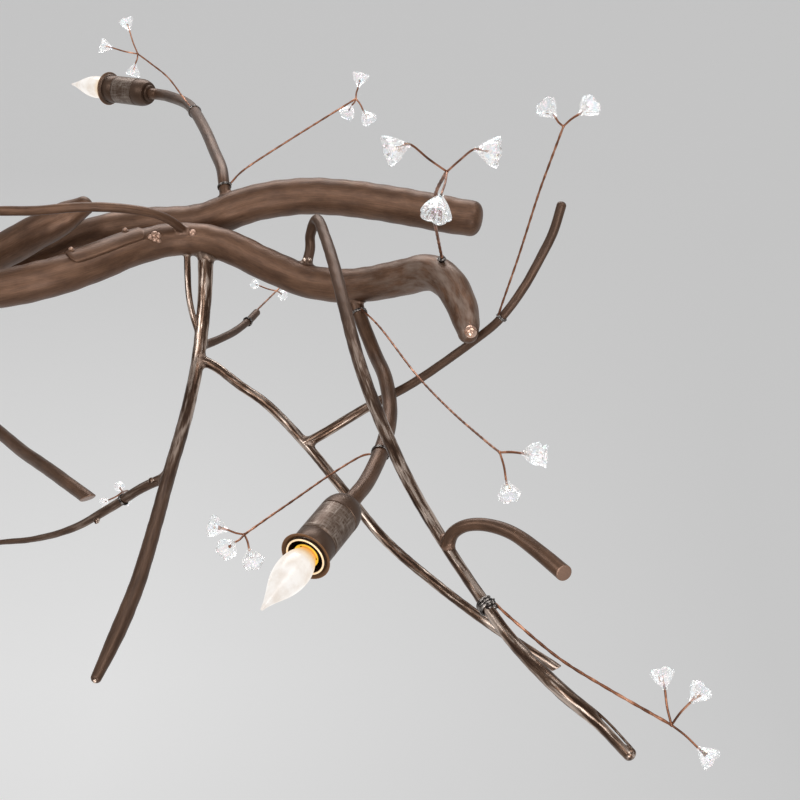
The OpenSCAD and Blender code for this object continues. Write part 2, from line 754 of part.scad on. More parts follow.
SPRAYS = [
    [rear_arm_route, 5, arm_d,
        [[229, 200, 246], [212, 190, 268], [193, 175, 282], [180, 160, 290]],
        [[168, 155, 325], [143, 150, 297], [174, 166, 272]], 20],
    [rear_arm_route, 1, arm_d,
        [[335, -47, 116], [385, -45, 149], [454, -40, 193]],
        [[458, -40, 213], [466, -45, 173], [446, -28, 183]], 20],
    [rising_route, 5, rising_d,
        [[599, -250, -42], [611, -282, -3], [624, -328, 45], [631, -355, 68], [640, -390, 96]],
        [[627, -402, 107], [657, -410, 107], [661, -377, 114]], 21],
    [front_arm_route, 1, arm_d,
        [[483, -178, -64], [517, -260, -111], [546, -350, -144], [571, -440, -168], [580, -480, -176]],
        [[602, -500, -176], [585, -500, -204], [613, -476, -173]], 20],
    [front_arm_route, 6, arm_d,
        [[464, -274, -188], [437, -300, -204], [406, -330, -225], [388, -350, -237], [369, -375, -250]],
        [[348, -384, -243], [359, -398, -258], [377, -394, -267]], 21],
    [arched_route, 11.35, arched_d,
        [[590, -487, -306], [623, -505, -332], [657, -525, -351], [700, -555, -372]],
        [[693, -560, -338], [716, -568, -347], [722, -570, -390]], 19],
    [stub_route, 3, stub_d,
        [[340, 30, -32], [356, 95, -6]],
        [[330, 116, 3], [360, 126, -8], [375, 122, 14]], 14],
    [low_twig_route, 1.65, low_twig_d,
        [[221, -120, -229], [200, -40, -235]],
        [[190, -6, -232], [178, -20, -247], [194, 12, -247]], 14]];

// The spray on the lower trunk's bend starts from a bead on top of the trunk
TRUNK_SPRAY = [lower_route, 13.6, lower_trunk_d,
    [[536, -270, 21], [532, -330, 27], [532, -400, 38], [537, -450, 44], [539, -470, 45]],
    [[500, -508, 57], [568, -512, 54], [530, -546, 8]], 26];
top_side = unit([-0.15, -0.35, 0.92]);
stalk_grip = 3;
blossom_rise = 0.78;
function last(list) = list[len(list) - 1];
function fork_of(s) = placed(last(s[3]));
function middles(s) = [for (p = s[4]) placed(p)];
function blossom_base(s, middle) = middle - unit(middle - fork_of(s)) * s[5] * blossom_rise / 2;

function side_of(r, t, toward) =
    let (q = along(r, t), v = toward - xyz(at(r, t)))
    unit(v - (v * q) * q);
function wrap_r(s) = at(s[0], s[1])[3] * s[2] / 2 + seat + wrap_d / 2;

// Stalks from the fork, a ball where they meet, and the wire that leads there from `start`
module spray_stalks(s, start) {
    path = concat([concat(start, [1])], [for (p = s[3]) concat(placed(p), [1])]);
    fork = fork_of(s);
    branch(path, wire_d, wire_sides, 3 * len(s[3]));
    translate(fork)
        sphere(d = wire_d * 1.5, $fn = 24);
    for (middle = middles(s))
        rod(fork, blossom_base(s, middle) + unit(middle - fork) * stalk_grip, wire_d);
}

module wrapped_spray(s) {
    p = at(s[0], s[1]);
    q = along(s[0], s[1]);
    r = wrap_r(s);
    translate(xyz(p))
        rotate([0, acos(q[2]), atan2(q[1], q[0])])
            rotate_extrude($fn = round_fn)
                translate([r, 0])
                    circle(d = wrap_d, $fn = 24);
    spray_stalks(s, xyz(p) + side_of(s[0], s[1], placed(s[3][0])) * r);
}

module trunk_spray(s) {
    bead_r = 3;
    p = at(s[0], s[1]);
    q = along(s[0], s[1]);
    n = unit(top_side - (top_side * q) * q);
    start = xyz(p) + n * (p[3] * s[2] / 2 + seat + bead_r);
    translate(start)
        sphere(r = bead_r, $fn = 32);
    spray_stalks(s, start);
}

module spray_wires() {
    at_hub()
        union() {
            for (s = SPRAYS)
                wrapped_spray(s);
            trunk_spray(TRUNK_SPRAY);
        }
}

// A blossom: a thick glass bell with five notches in its rim, on a short bored foot
module blossom(size) {
    r = size / 2;
    h = size * blossom_rise;
    bore = wire_d / 2 + bore_gap;
    foot_r = bore + glass_t * 0.8;
    foot_h = 2;
    rim_r = r - glass_t;
    swell = 1.5;
    places = [for (i = [0:6]) 1 - pow(1 - i / 6, swell)];
    bell = [for (i = [0:6]) [foot_r + (r - foot_r) * places[i], foot_h + (h - foot_h) * i / 6]];
    inside = [for (i = [6:-1:0])
        [bore + (rim_r - bore) * places[i], foot_h + glass_t + (h - foot_h - glass_t) * i / 6]];
    difference() {
        rotate_extrude($fn = 48)
            polygon(concat([[bore, 0], [foot_r, 0]], bell, inside));
        for (a = [0:72:359])
            rotate([0, 0, a])
                translate([r * 1.1, 0, h * 0.6])
                    cylinder(r = r * 0.26, h = h, $fn = 24);
    }
}

module blossoms() {
    at_hub()
        for (s = concat(SPRAYS, [TRUNK_SPRAY]), middle = middles(s))
            let (q = unit(middle - fork_of(s)))
            translate(blossom_base(s, middle))
                rotate([0, acos(q[2]), atan2(q[1], q[0])])
                    blossom(s[5]);
}

// ---- Assembly -----------------------------------------------------------------------------

module right(paint) {
    color(paint) children();
}

module left(paint) {
    color(paint) left_half() children();
}

crossbar();
nipple();
canopy();
canopy_nut();
swivel_housing();
swivel_spindle();
stem();
hub_boss();
hub_finial();
right(bronze) upper_trunk();  // upper_trunk_right
left(bronze) upper_trunk();  // upper_trunk_left
right(bronze) lower_trunk();  // lower_trunk_right
left(bronze) lower_trunk();  // lower_trunk_left
right(bronze) tie_branch();  // tie_branch_right
left(bronze) tie_branch();  // tie_branch_left
right(bronze) wireway_cover();  // wireway_cover_right
left(bronze) wireway_cover();  // wireway_cover_left
cover_screws();
right(dark_bronze) hanging_twig();  // hanging_twig_right
left(dark_bronze) hanging_twig();  // hanging_twig_left
right(dark_bronze) side_rod();  // side_rod_right
left(dark_bronze) side_rod();  // side_rod_left
right(dark_bronze) long_twig();  // long_twig_right
left(dark_bronze) long_twig();  // long_twig_left
right(dark_bronze) rising_twig();  // rising_twig_right
left(dark_bronze) rising_twig();  // rising_twig_left
right(dark_bronze) arched_twig();  // arched_twig_right
left(dark_bronze) arched_twig();  // arched_twig_left
right(bronze) hook_twig();  // hook_twig_right
left(bronze) hook_twig();  // hook_twig_left
right(bronze) low_rod();  // low_rod_right
left(bronze) low_rod();  // low_rod_left
right(dark_bronze) low_twig();  // low_twig_right
left(dark_bronze) low_twig();  // low_twig_left
right(dark_bronze) stub_twig();  // stub_twig_right
left(dark_bronze) stub_twig();  // stub_twig_left
right(bronze) front_lamp_arm();  // front_lamp_arm_right
left(bronze) front_lamp_arm();  // front_lamp_arm_left
right(bronze) rear_lamp_arm();  // rear_lamp_arm_right
left(bronze) rear_lamp_arm();  // rear_lamp_arm_left
lamp_sockets();
right(copper) spray_wires();  // spray_wires_right
left(copper) spray_wires();  // spray_wires_left
right(glass) blossoms();  // blossoms_right
left(glass) blossoms();  // blossoms_left
for (i = LAMPS) {
    lamp_cup(i);
    lamp_ring(i);
    bulb(i);
}
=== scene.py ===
import math
import bpy
import numpy as np
from mathutils import Matrix, Vector

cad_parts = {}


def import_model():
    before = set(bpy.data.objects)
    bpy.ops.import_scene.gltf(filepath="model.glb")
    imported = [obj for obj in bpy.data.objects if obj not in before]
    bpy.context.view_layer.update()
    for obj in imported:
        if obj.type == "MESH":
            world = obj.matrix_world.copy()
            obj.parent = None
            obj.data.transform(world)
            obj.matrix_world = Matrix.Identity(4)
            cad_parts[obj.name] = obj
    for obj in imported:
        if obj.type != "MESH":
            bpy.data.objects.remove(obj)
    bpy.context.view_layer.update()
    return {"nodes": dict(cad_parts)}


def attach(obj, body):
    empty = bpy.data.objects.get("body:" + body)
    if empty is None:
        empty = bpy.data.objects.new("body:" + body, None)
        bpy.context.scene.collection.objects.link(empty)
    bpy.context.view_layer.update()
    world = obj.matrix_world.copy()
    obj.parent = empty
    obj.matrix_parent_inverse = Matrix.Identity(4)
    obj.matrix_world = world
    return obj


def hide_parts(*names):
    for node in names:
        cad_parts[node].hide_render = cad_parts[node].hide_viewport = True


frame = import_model()

# ---- Driving dimensions, in millimetres
# Routes are lists of [x, y, z, k] from the hub's middle: the centreline, and the share k of
# the branch's diameter. Places on a route are counted in points.

MM = 0.001
HUB_DROP = 455
UPPER_D, LOWER_D, TIP_BEAD_D = 40, 36, 10
TIE_D, HANGING_D, SIDE_ROD_D, LONG_D, RISING_D = 10, 14, 6.8, 10, 8.5
ARCHED_D, HOOK_D, LOW_ROD_D, LOW_TWIG_D, STUB_D, ARM_D = 11.5, 11.5, 13, 10, 9, 14.5
COVER_T, COVER_ANGLE, COVER_FROM, COVER_TO = 1.6, 76, 4.66, 6.2
SEAT = 0.2
CUP_D, CUP_L, SHOULDER_L, CUP_WALL = 37, 76, 18, 1.5
RING_D, RING_H, LINER_R, SLEEVE_L, SLIP = 45.4, 4, 17.7, 14, 0.15
SOCKET_D, SOCKET_L, BULB_DEPTH, BASE_D, BASE_L, BULB_D, BULB_L = 22, 34, 10, 12, 17, 30, 84
WIRE_D, STALK_D, TIE_WIRE_D, WRAP_D, BLOSSOM_RISE = 2.21, 1.8, 1.4, 2.2, 0.78
RING_START = np.array([0.13, 0.97, 0.21])


def turned(p):
    return [-p[0], -p[1], p[2], p[3]]


def at(route, t):
    """Point and diameter share of a route at place t, as an array of four numbers."""
    r = np.asarray(route, float)
    r = np.concatenate([2 * r[:1] - r[1:2], r, 2 * r[-1:] - r[-2:-1]])
    i = int(min(math.floor(t), len(r) - 4))
    u = t - i
    a, b, c, d = r[i:i + 4]
    return 0.5 * (2 * b + (c - a) * u + (2 * a - 5 * b + 4 * c - d) * u * u
                  + (3 * b - a - 3 * c + d) * u ** 3)


def unit(v):
    v = np.asarray(v, float)
    return v / np.linalg.norm(v)


def square_to(v, axis):
    """Unit vector along the part of v that is square to a unit axis."""
    v = np.asarray(v, float)
    return unit(v - (v @ axis) * axis)


def basis(axis):
    """Three unit vectors square to each other; the last lies along the axis."""
    w = unit(axis)
    u = unit(np.cross(w, RING_START))
    return u, np.cross(w, u), w


def circle(sides):
    """Angles of a ring's points, all the way round."""
    return np.linspace(0, 2 * math.pi, sides, endpoint=False)


def along(route, t, step=0.02):
    last = len(route) - 1
    return unit(at(route, min(t + step, last))[:3] - at(route, max(t - step, 0))[:3])


def foot(route, t, k):
    return [*at(route, t)[:3], k]


UPPER = [
    [-173, 105, 68, 0.52], [-150, 103, 55, 0.82], [-118, 98, 39, 0.92], [-60, 74, 14, 0.97],
    [0, 38, 0, 1], [50, 2, 3, 1], [106, -33, 15, 1], [166, -40, 43, 1], [225, -42, 54, 1],
    [285, -45, 58, 1], [341, -50, 77, 1], [396, -52, 85, 1], [450, -55, 82, 1], [506, -60, 73, 1],
    [545, -65, 65, 1], [577, -69, 59, 0.97]]
OTHER_UPPER = [turned(p) for p in UPPER]
LOWER = [turned(foot(UPPER, 4.6, 0.95))] + [
    [-22, -66, -13, 0.97], [15, -118, -25, 1], [70, -148, -27, 1.05], [134, -150, -15, 1.12],
    [181, -130, 2, 1.08], [226, -102, 24, 1.02], [270, -87, 35, 0.98], [315, -87, 29, 0.98],
    [360, -96, 8, 0.98], [405, -107, -11, 0.98], [452, -120, -17, 1], [500, -148, -12, 1.04],
    [530, -172, -8, 1.03], [550, -194, -20, 0.95], [561, -210, -42, 0.87], [566, -221, -60, 0.75],
    [567, -229, -71, 0.57]]
TIE = [turned(foot(UPPER, 5.2, 1.15))] + [
    [-40, -50, 37, 1], [20, -118, 53, 1], [85, -155, 55, 1], [136, -162, 55, 1], [187, -160, 59, 1],
    [234, -145, 58, 0.95], [262, -120, 52, 0.92]] + [foot(LOWER, 7.3, 0.92)]
HANGING = [foot(LOWER, 7.6, 1.3)] + [
    [296, -86, -19, 1.1], [293, -92, -65, 1.04], [289, -104, -105, 1], [283, -140, -155, 1],
    [275, -195, -210, 0.98], [270, -245, -255, 1], [263, -295, -302, 1.05],
    [253, -337, -340, 1.04], [242, -374, -373, 0.70]]
SIDE_ROD = [foot(LOWER, 7.15, 1.1), [280, -90, -28, 1], foot(HANGING, 2.2, 0.9)]
LONG = [foot(HANGING, 2.7, 1.2)] + [
    [309, -105, -100, 1.05], [337, -120, -120, 1], [369, -135, -142, 1], [410, -164, -182, 1],
    [450, -200, -227, 1], [488, -230, -269, 1], [534, -265, -305, 0.95], [583, -300, -338, 0.92],
    [640, -340, -371, 0.90]]
ARCHED = [foot(LOWER, 9.9, 1.1)] + [
    [408, -106, 21, 0.95], [409, -112, 37, 0.95], [417, -130, 50, 1], [427, -160, 28, 1.02],
    [438, -200, -5, 1.06], [449, -243, -45, 1.08], [464, -292, -98, 1.08], [482, -335, -146, 1.06],
    [507, -380, -200, 1], [532, -420, -242, 0.92], [560, -460, -283, 0.86], [589, -500, -321, 0.90],
    [620, -540, -349, 1.03], [646, -565, -368, 0.95], [664, -588.6, -385, 0.88]]
HOOK = [foot(ARCHED, 10.3, 1.1)] + [
    [545, -438, -243, 0.95], [556, -446, -236, 0.92], [572, -454, -235, 0.95],
    [590, -465, -240, 1], [607, -477, -251, 1.08], [629, -494, -269, 1.18]]
LOW_ROD = [turned(foot(UPPER, 4.1, 1.1))] + [
    [22, -64, -60, 1.02], [66, -118, -142, 1], [120, -185, -178, 1], [172, -250, -201, 1],
    [219, -300, -224, 0.98]]
LOW_TWIG = [foot(HANGING, 5, 1.1)] + [
    [247, -184, -222, 1], [213, -160, -242, 0.95], [168, -130, -266, 0.80], [122, -100, -280, 0.68],
    [75, -70, -287, 0.60]]
STUB = [foot(HANGING, 2.35, 1.1)] + [
    [307, -70, -71, 1], [321, -40, -61, 0.97], [333, -10, -48, 0.95], [341, 14, -36, 0.95]]

# The rising twig passes behind the lower trunk's round tip, and a bead sits on the tip's front
TIP = np.array(LOWER[-1][:3])
TIP_R = LOWER[-1][3] * LOWER_D / 2
BEAD_SIDE = unit([0.25, -0.96, 0.1])
BEAD_AT = TIP + BEAD_SIDE * TIP_R * 0.85
RISING_TOUCH = TIP + unit([0.608, 0.72, -0.33]) * (TIP_R + RISING_D / 2 + SEAT)
RISING = [foot(LONG, 3.93, 1.25)] + [
    [430, -166, -166, 1.2], [468, -168, -143, 1.15], [517, -190, -117, 1.05], [*RISING_TOUCH, 1],
    [599, -234, -56, 1], [619, -241, -29, 1.03], [635, -248, 0, 1.05], [646, -254, 23, 1.08],
    [653, -260, 47, 1.10]]

FRONT_NECK, FRONT_DIR = np.array([457, -348.5, -226.3]), unit([-0.419, -0.769, -0.484])
REAR_NECK, REAR_DIR = np.array([160.7, 363.2, 284.9]), unit([-0.823, 0.532, 0.201])


def arm_end(p, direction):
    return [[*(p - direction * 8 * n), 1.04] for n in (2, 1, 0)]


FRONT_ARM = [foot(LOWER, 11, 1.08)] + [
    [460, -127, -46, 1], [476, -155, -87, 1], [487, -190, -112, 1], [492, -219, -138, 1],
    [491, -247, -160, 1.02], [484, -277, -184, 1.04],
    [473, -312, -207, 1.04]] + arm_end(FRONT_NECK, FRONT_DIR)
REAR_ARM = [foot(UPPER, 9.55, 1.02)] + [
    [311, -42, 97, 0.88], [305, -18, 121, 0.88], [292, 25, 146, 0.9], [273, 90, 182, 0.92],
    [247, 180, 223, 0.96], [221, 275, 254, 1], [190, 330, 274, 1.03]] + arm_end(REAR_NECK, REAR_DIR)

# [carrier, place, carrier diameter, points to the fork, middles of the blossoms, their size]
SPRAYS = [
    [REAR_ARM, 5, ARM_D,
     [[229, 200, 246], [212, 190, 268], [193, 175, 282], [180, 160, 290]],
     [[168, 155, 325], [143, 150, 297], [174, 166, 272]], 20],
    [REAR_ARM, 1, ARM_D,
     [[335, -47, 116], [385, -45, 149], [454, -40, 193]],
     [[458, -40, 213], [466, -45, 173], [446, -28, 183]], 20],
    [RISING, 5, RISING_D,
     [[599, -250, -42], [611, -282, -3], [624, -328, 45], [631, -355, 68], [640, -390, 96]],
     [[627, -402, 107], [657, -410, 107], [661, -377, 114]], 21],
    [FRONT_ARM, 1, ARM_D,
     [[483, -178, -64], [517, -260, -111], [546, -350, -144], [571, -440, -168], [580, -480, -176]],
     [[602, -500, -176], [585, -500, -204], [610, -484, -178]], 20],
    [FRONT_ARM, 6, ARM_D,
     [[464, -274, -188], [437, -300, -204], [406, -330, -225], [388, -350, -237], [369, -375, -250]],
     [[348, -384, -243], [359, -398, -258], [377, -394, -267]], 21],
    [ARCHED, 11.35, ARCHED_D,
     [[590, -487, -306], [623, -505, -332], [657, -525, -351], [700, -555, -372]],
     [[693, -560, -338], [716, -568, -347], [722, -570, -390]], 19],
    [STUB, 3, STUB_D,
     [[340, 30, -32], [356, 95, -6]],
     [[330, 116, 3], [360, 126, -8], [375, 122, 14]], 14],
    [LOW_TWIG, 1.65, LOW_TWIG_D,
     [[221, -120, -229], [200, -40, -235]],
     [[190, -6, -232], [178, -20, -247], [194, 12, -247]], 14],
    [LOWER, 13.6, LOWER_D,
     [[536, -270, 21], [532, -330, 27], [532, -400, 38], [537, -450, 44], [539, -470, 45]],
     [[500, -508, 57], [568, -512, 54], [530, -546, 8]], 26]]
TRUNK_SPRAY, TIED_SPRAY = len(SPRAYS) - 1, 5
# Bells of the trunk spray hang off their stalks' line
BELL_WAY = {0: (-0.9, -0.15, -0.3), 1: (0.93, -0.2, -0.15), 2: (-0.25, -0.4, -0.88)}
TOP_SIDE, FOOT_H = unit([-0.15, -0.35, 0.92]), 3
HEAVIER = {TRUNK_SPRAY: 1.45, TIED_SPRAY: 1.2}

# ---- Materials


class Nodes:
    """Short ways to build a material's node tree; the methods give output sockets."""

    def __init__(self, name):
        self.material = bpy.data.materials.new(name)
        self.material.use_nodes = True
        self.tree = self.material.node_tree
        self.shader = self.tree.nodes["Principled BSDF"]

    def feed(self, socket, value):
        if isinstance(value, bpy.types.NodeSocket):
            self.tree.links.new(value, socket)
        else:
            socket.default_value = (*value, 1) if socket.type == "RGBA" else value

    def add(self, kind, output, inputs={}, **values):
        node = self.tree.nodes.new(kind)
        for key, value in values.items():
            setattr(node, key, value)
        for key, value in inputs.items():
            self.feed(node.inputs[key], value)
        return node.outputs[output]

    def set(self, **values):
        for key, value in values.items():
            key = key.replace("_", " ").title().replace("Ior", "IOR")
            self.feed(self.shader.inputs[key], value)

    def grain(self):
        """Place on a swept tube: across x, across y, and length along it, in metres."""
        return self.add("ShaderNodeAttribute", "Vector", attribute_name="grain")

    def place(self):
        return self.add("ShaderNodeTexCoord", "Object")

    def share(self, name):
        return self.add("ShaderNodeAttribute", "Fac", attribute_name=name)

    def scaled(self, vector, scale):
        return self.add("ShaderNodeMapping", "Vector", {"Vector": vector, "Scale": scale})

    def noise(self, vector, scale, detail=3.0, rough=0.55):
        return self.add("ShaderNodeTexNoise", "Fac", {
            "Vector": vector, "Scale": scale, "Detail": detail, "Roughness": rough})

    def ramp(self, factor, *stops):
        output = self.add("ShaderNodeValToRGB", "Color", {"Fac": factor})
        elements = output.node.color_ramp.elements
        while len(elements) < len(stops):
            elements.new(0.5)
        for element, (place, color) in zip(elements, stops):
            element.position = place
            element.color = (*color, 1)
        return output

    def mix(self, factor, a, b, kind="MIX"):
        return self.add("ShaderNodeMix", "Result", {"Factor": factor, "A": a, "B": b},
                        data_type="RGBA", blend_type=kind)

    def math(self, kind, a, b):
        return self.add("ShaderNodeMath", "Value", {0: a, 1: b}, operation=kind)

    def clip(self, factor, low, high):
        """Nothing up to `low`, all from `high` on."""
        return self.add("ShaderNodeMapRange", "Result", {
            "Value": factor, "From Min": low, "From Max": high})

    def span(self, factor, low, high):
        return self.add("ShaderNodeMapRange", "Result", {
            "Value": factor, "To Min": low, "To Max": high})

    def bump(self, height, distance, strength, under=None):
        inputs = {"Height": height, "Distance": distance, "Strength": strength}
        if under is not None:
            inputs["Normal"] = under
        return self.add("ShaderNodeBump", "Normal", inputs)


PATINA = (0.074, 0.034, 0.017), (0.138, 0.070, 0.039)
ROD_PATINA = (0.062, 0.030, 0.015), (0.118, 0.061, 0.035)
DULL_PATINA = (0.35, (0.054, 0.027, 0.015)), (0.65, (0.100, 0.053, 0.031))
DRAWN_METAL = ((0.38, (0.050, 0.026, 0.016)), (0.50, (0.140, 0.086, 0.058)),
               (0.61, (0.56, 0.45, 0.38)))
PAINTED_SHEEN_TONE, WELD_AND_GLINT_TONE, BARE_METAL_AND_GLINT_TONE = (0.185, 0.132, 0.103), (0.48, 0.30, 0.22), (0.55, 0.42, 0.34)
POLISHED_ROUGH, SATIN_ROUGH = (0.2,) * 3, (0.46,) * 3


def bronze(name, patina, roughness, swept=True):
    """Satin bronze patina, brushed lengthwise, with brighter and smoother weld metal, partly painted
    glint.
    """
    n = Nodes(name)
    place = n.grain() if swept else n.place()
    brushed = n.noise(n.scaled(place, (1, 1, 0.05)), 900, 4, 0.7)
    cloud = n.noise(n.scaled(place, (1, 1, 0.45)), 60, 5, 0.62)
    tone = n.ramp(cloud, (0.35, patina[0]), (0.65, patina[1]))
    hairline = n.ramp(brushed, (0.3, (0.3,) * 3), (0.7, (0.68,) * 3))
    color = n.mix(0.75, tone, hairline, "OVERLAY")
    rough = n.span(brushed, roughness + 0.1, roughness - 0.1)
    if swept:
        worn = n.share("worn")
        patch = n.clip(n.noise(n.scaled(place, (1, 1, 0.3)), 120, 4, 0.6), 0.42, 0.66)
        # Paler patches near the lower trunk's bend: painted sheen.
        color = n.mix(n.math("MULTIPLY", n.share("rubbed"), patch), color, PAINTED_SHEEN_TONE)
        # Bare metal is paler and smoother: weld metal and cut faces, and a painted glint on drops
        # and screw heads.
        color = n.mix(worn, color, WELD_AND_GLINT_TONE)
        rough = n.mix(worn, rough, POLISHED_ROUGH)
    n.set(base_color=color, metallic=0.5, roughness=rough,
          normal=n.bump(cloud, 0.0006, 0.25, n.bump(brushed, 0.00018, 0.8)))
    return n.material


def streaked_bronze():
    """Polished bronze rod with long drawn streaks; `dull` parts are satin and darker."""
    n = Nodes("streaked_bronze")
    place = n.grain()
    drawn = n.noise(n.scaled(place, (1, 1, 0.10)), 260, 3, 0.6)
    crumple = n.noise(n.scaled(place, (1, 1, 0.22)), 330, 3, 0.6)
    dull, worn = n.share("dull"), n.share("worn")
    color = n.mix(dull, n.ramp(drawn, *DRAWN_METAL), n.ramp(drawn, *DULL_PATINA))
    rough = n.mix(dull, n.span(drawn, 0.34, 0.18), SATIN_ROUGH)
    # Bare metal is paler and smoother: weld metal and cut faces, and a painted glint on drops.
    n.set(base_color=n.mix(worn, color, BARE_METAL_AND_GLINT_TONE), metallic=n.span(dull, 0.85, 0.5),
          roughness=n.mix(worn, rough, POLISHED_ROUGH),
          normal=n.bump(drawn, 0.0007, 0.5, n.bump(crumple, 0.0004, 0.5)))
    return n.material


def speckled(name, scale, stops, metal, rough, relief=(0.0002, 0.5), detail=3, stretch=(1, 1, 1)):
    """One noise gives the colour, the roughness and the relief."""
    n = Nodes(name)
    speck = n.noise(n.scaled(n.place(), stretch), scale, detail)
    n.set(base_color=n.ramp(speck, *stops), metallic=metal, roughness=n.span(speck, *rough))
    if relief:
        n.set(normal=n.bump(speck, *relief))
    return n.material


def cup_metal():
    """Satin cup shell with pale strokes scuffed through the patina, round and along the cup."""
    n = Nodes("cup_metal")
    place = n.grain()
    round_stroke = n.noise(n.scaled(place, (0.35, 0.35, 3.4)), 230, 4, 0.7)
    long_stroke = n.noise(n.scaled(place, (3.2, 3.2, 0.4)), 200, 4, 0.7)
    patch = n.clip(n.noise(place, 60, 3, 0.6), 0.30, 0.56)
    stroke = n.math("MAXIMUM", round_stroke, long_stroke)
    pale = n.math("MULTIPLY", n.share("rubbed"), n.clip(stroke, 0.46, 0.74))
    color = n.mix(n.math("MULTIPLY", pale, patch), (0.075, 0.042, 0.026), (0.36, 0.30, 0.255))
    # The emission paints a glow of the bulb's amber light where the `lit` share is set.
    n.set(base_color=color, metallic=0.6, roughness=n.span(stroke, 0.5, 0.34),
          normal=n.bump(stroke, 0.0002, 0.5), emission_strength=0.26,
          emission_color=n.mix(n.share("lit"), (0.0,) * 3, (0.85, 0.34, 0.08)))
    return n.material


def glow(name, base, color, strength):
    """A brass edge with the bulb's light painted on it as a glow."""
    n = Nodes(name)
    stain = n.noise(n.place(), 200, 3)
    shade = n.ramp(stain, (0.3, (0.8,) * 3), (0.7, (1.0,) * 3))
    n.set(base_color=base, metallic=0.8, roughness=n.span(stain, 0.35, 0.2),
          emission_color=n.mix(1.0, shade, color, "MULTIPLY"), emission_strength=strength)
    return n.material


def crystal():
    """Clear pressed glass with an iridescent coating, a rippled surface and a faint painted glow."""
    n = Nodes("crystal")
    ripple = n.noise(n.place(), 260, 2)
    tint = n.noise(n.place(), 210, 1)
    color = n.ramp(tint, (0.30, (1.0, 0.90, 0.93)), (0.46, (1.0, 1.0, 0.98)),
                   (0.70, (0.90, 0.96, 1.0)))
    # The emission is a faint painted glow that whitens the glass.
    n.set(base_color=color, transmission_weight=0.97, roughness=0.03, ior=1.5,
          thin_film_thickness=450.0, thin_film_ior=1.4,
          emission_color=color, emission_strength=0.07, normal=n.bump(ripple, 0.0012, 0.45))
    return n.material


def bulb_glass():
    """Lit frosted glass: amber by the base, cream towards the tip."""
    n = Nodes("bulb_glass")
    cloud = n.noise(n.place(), 75, 3, 0.6)
    pale = n.ramp(cloud, (0.35, (0.86, 0.80, 0.74)), (0.6, (1.0, 0.985, 0.965)))
    heat = n.ramp(n.share("rise"), (0.10, (1.0, 0.36, 0.05)), (0.16, (1.0, 0.56, 0.18)),
                  (0.22, (1.0, 0.80, 0.55)), (0.30, (1.0, 0.95, 0.89)),
                  (0.6, (0.99, 0.97, 0.95)), (1.0, (0.93, 0.90, 0.87)))
    n.set(base_color=(0.10, 0.09, 0.085), roughness=0.28, normal=n.bump(cloud, 0.0003, 0.3),
          emission_color=n.mix(1.0, pale, heat, "MULTIPLY"), emission_strength=0.84)
    return n.material


TRUNK = bronze("trunk_bronze", PATINA, 0.45)
ROD = bronze("rod_bronze", ROD_PATINA, 0.40)
FITTING = bronze("fitting_bronze", PATINA, 0.45, swept=False)
TWIG = streaked_bronze()
CUP = cup_metal()
# Painted glows of the bulb's light on the liner's edge and the socket's shell.
LIP_GLOW = glow("lip_glow", (0.6, 0.4, 0.2), (1.0, 0.80, 0.55), 0.8)
SHELL_GLOW = glow("shell_glow", (0.2, 0.1, 0.02), (1.0, 0.58, 0.05), 0.95)
CRYSTAL = crystal()
GLASS = bulb_glass()
COPPER = speckled("copper", 60, (
    (0.32, (0.095, 0.036, 0.017)), (0.52, (0.23, 0.088, 0.042)), (0.7, (0.64, 0.32, 0.20))),
    0.6, (0.45, 0.3))
IRON = speckled("iron", 260, (
    (0.40, (0.028, 0.022, 0.020)), (0.66, (0.34, 0.31, 0.29))), 1.0, (0.34, 0.2))
BEAD = speckled("braze", 160, (
    (0.3, (0.50, 0.27, 0.18)), (0.7, (0.85, 0.62, 0.50))), 0.9, (0.34, 0.22), (0.0003, 0.5), 2)
BRASS = speckled("brass", 240, (
    (0.3, (0.55, 0.33, 0.12)), (0.7, (0.86, 0.60, 0.27))), 1.0, (0.34, 0.2), None)
# Near-black socket colour: painted shade inside the cup.
SOCKET_PAINTED_SHADE = speckled("socket_painted_shade", 300, (
    (0.3, (0.018, 0.012, 0.010)), (0.7, (0.040, 0.028, 0.022))), 0.0, (0.5, 0.38), (0.0002, 0.3))
ZINC = speckled("zinc", 160, (
    (0.3, (0.42, 0.42, 0.41)), (0.7, (0.66, 0.66, 0.65))), 1.0, (0.5, 0.33), (0.0002, 0.4),
    4, (1, 6, 6))

# ---- Meshes


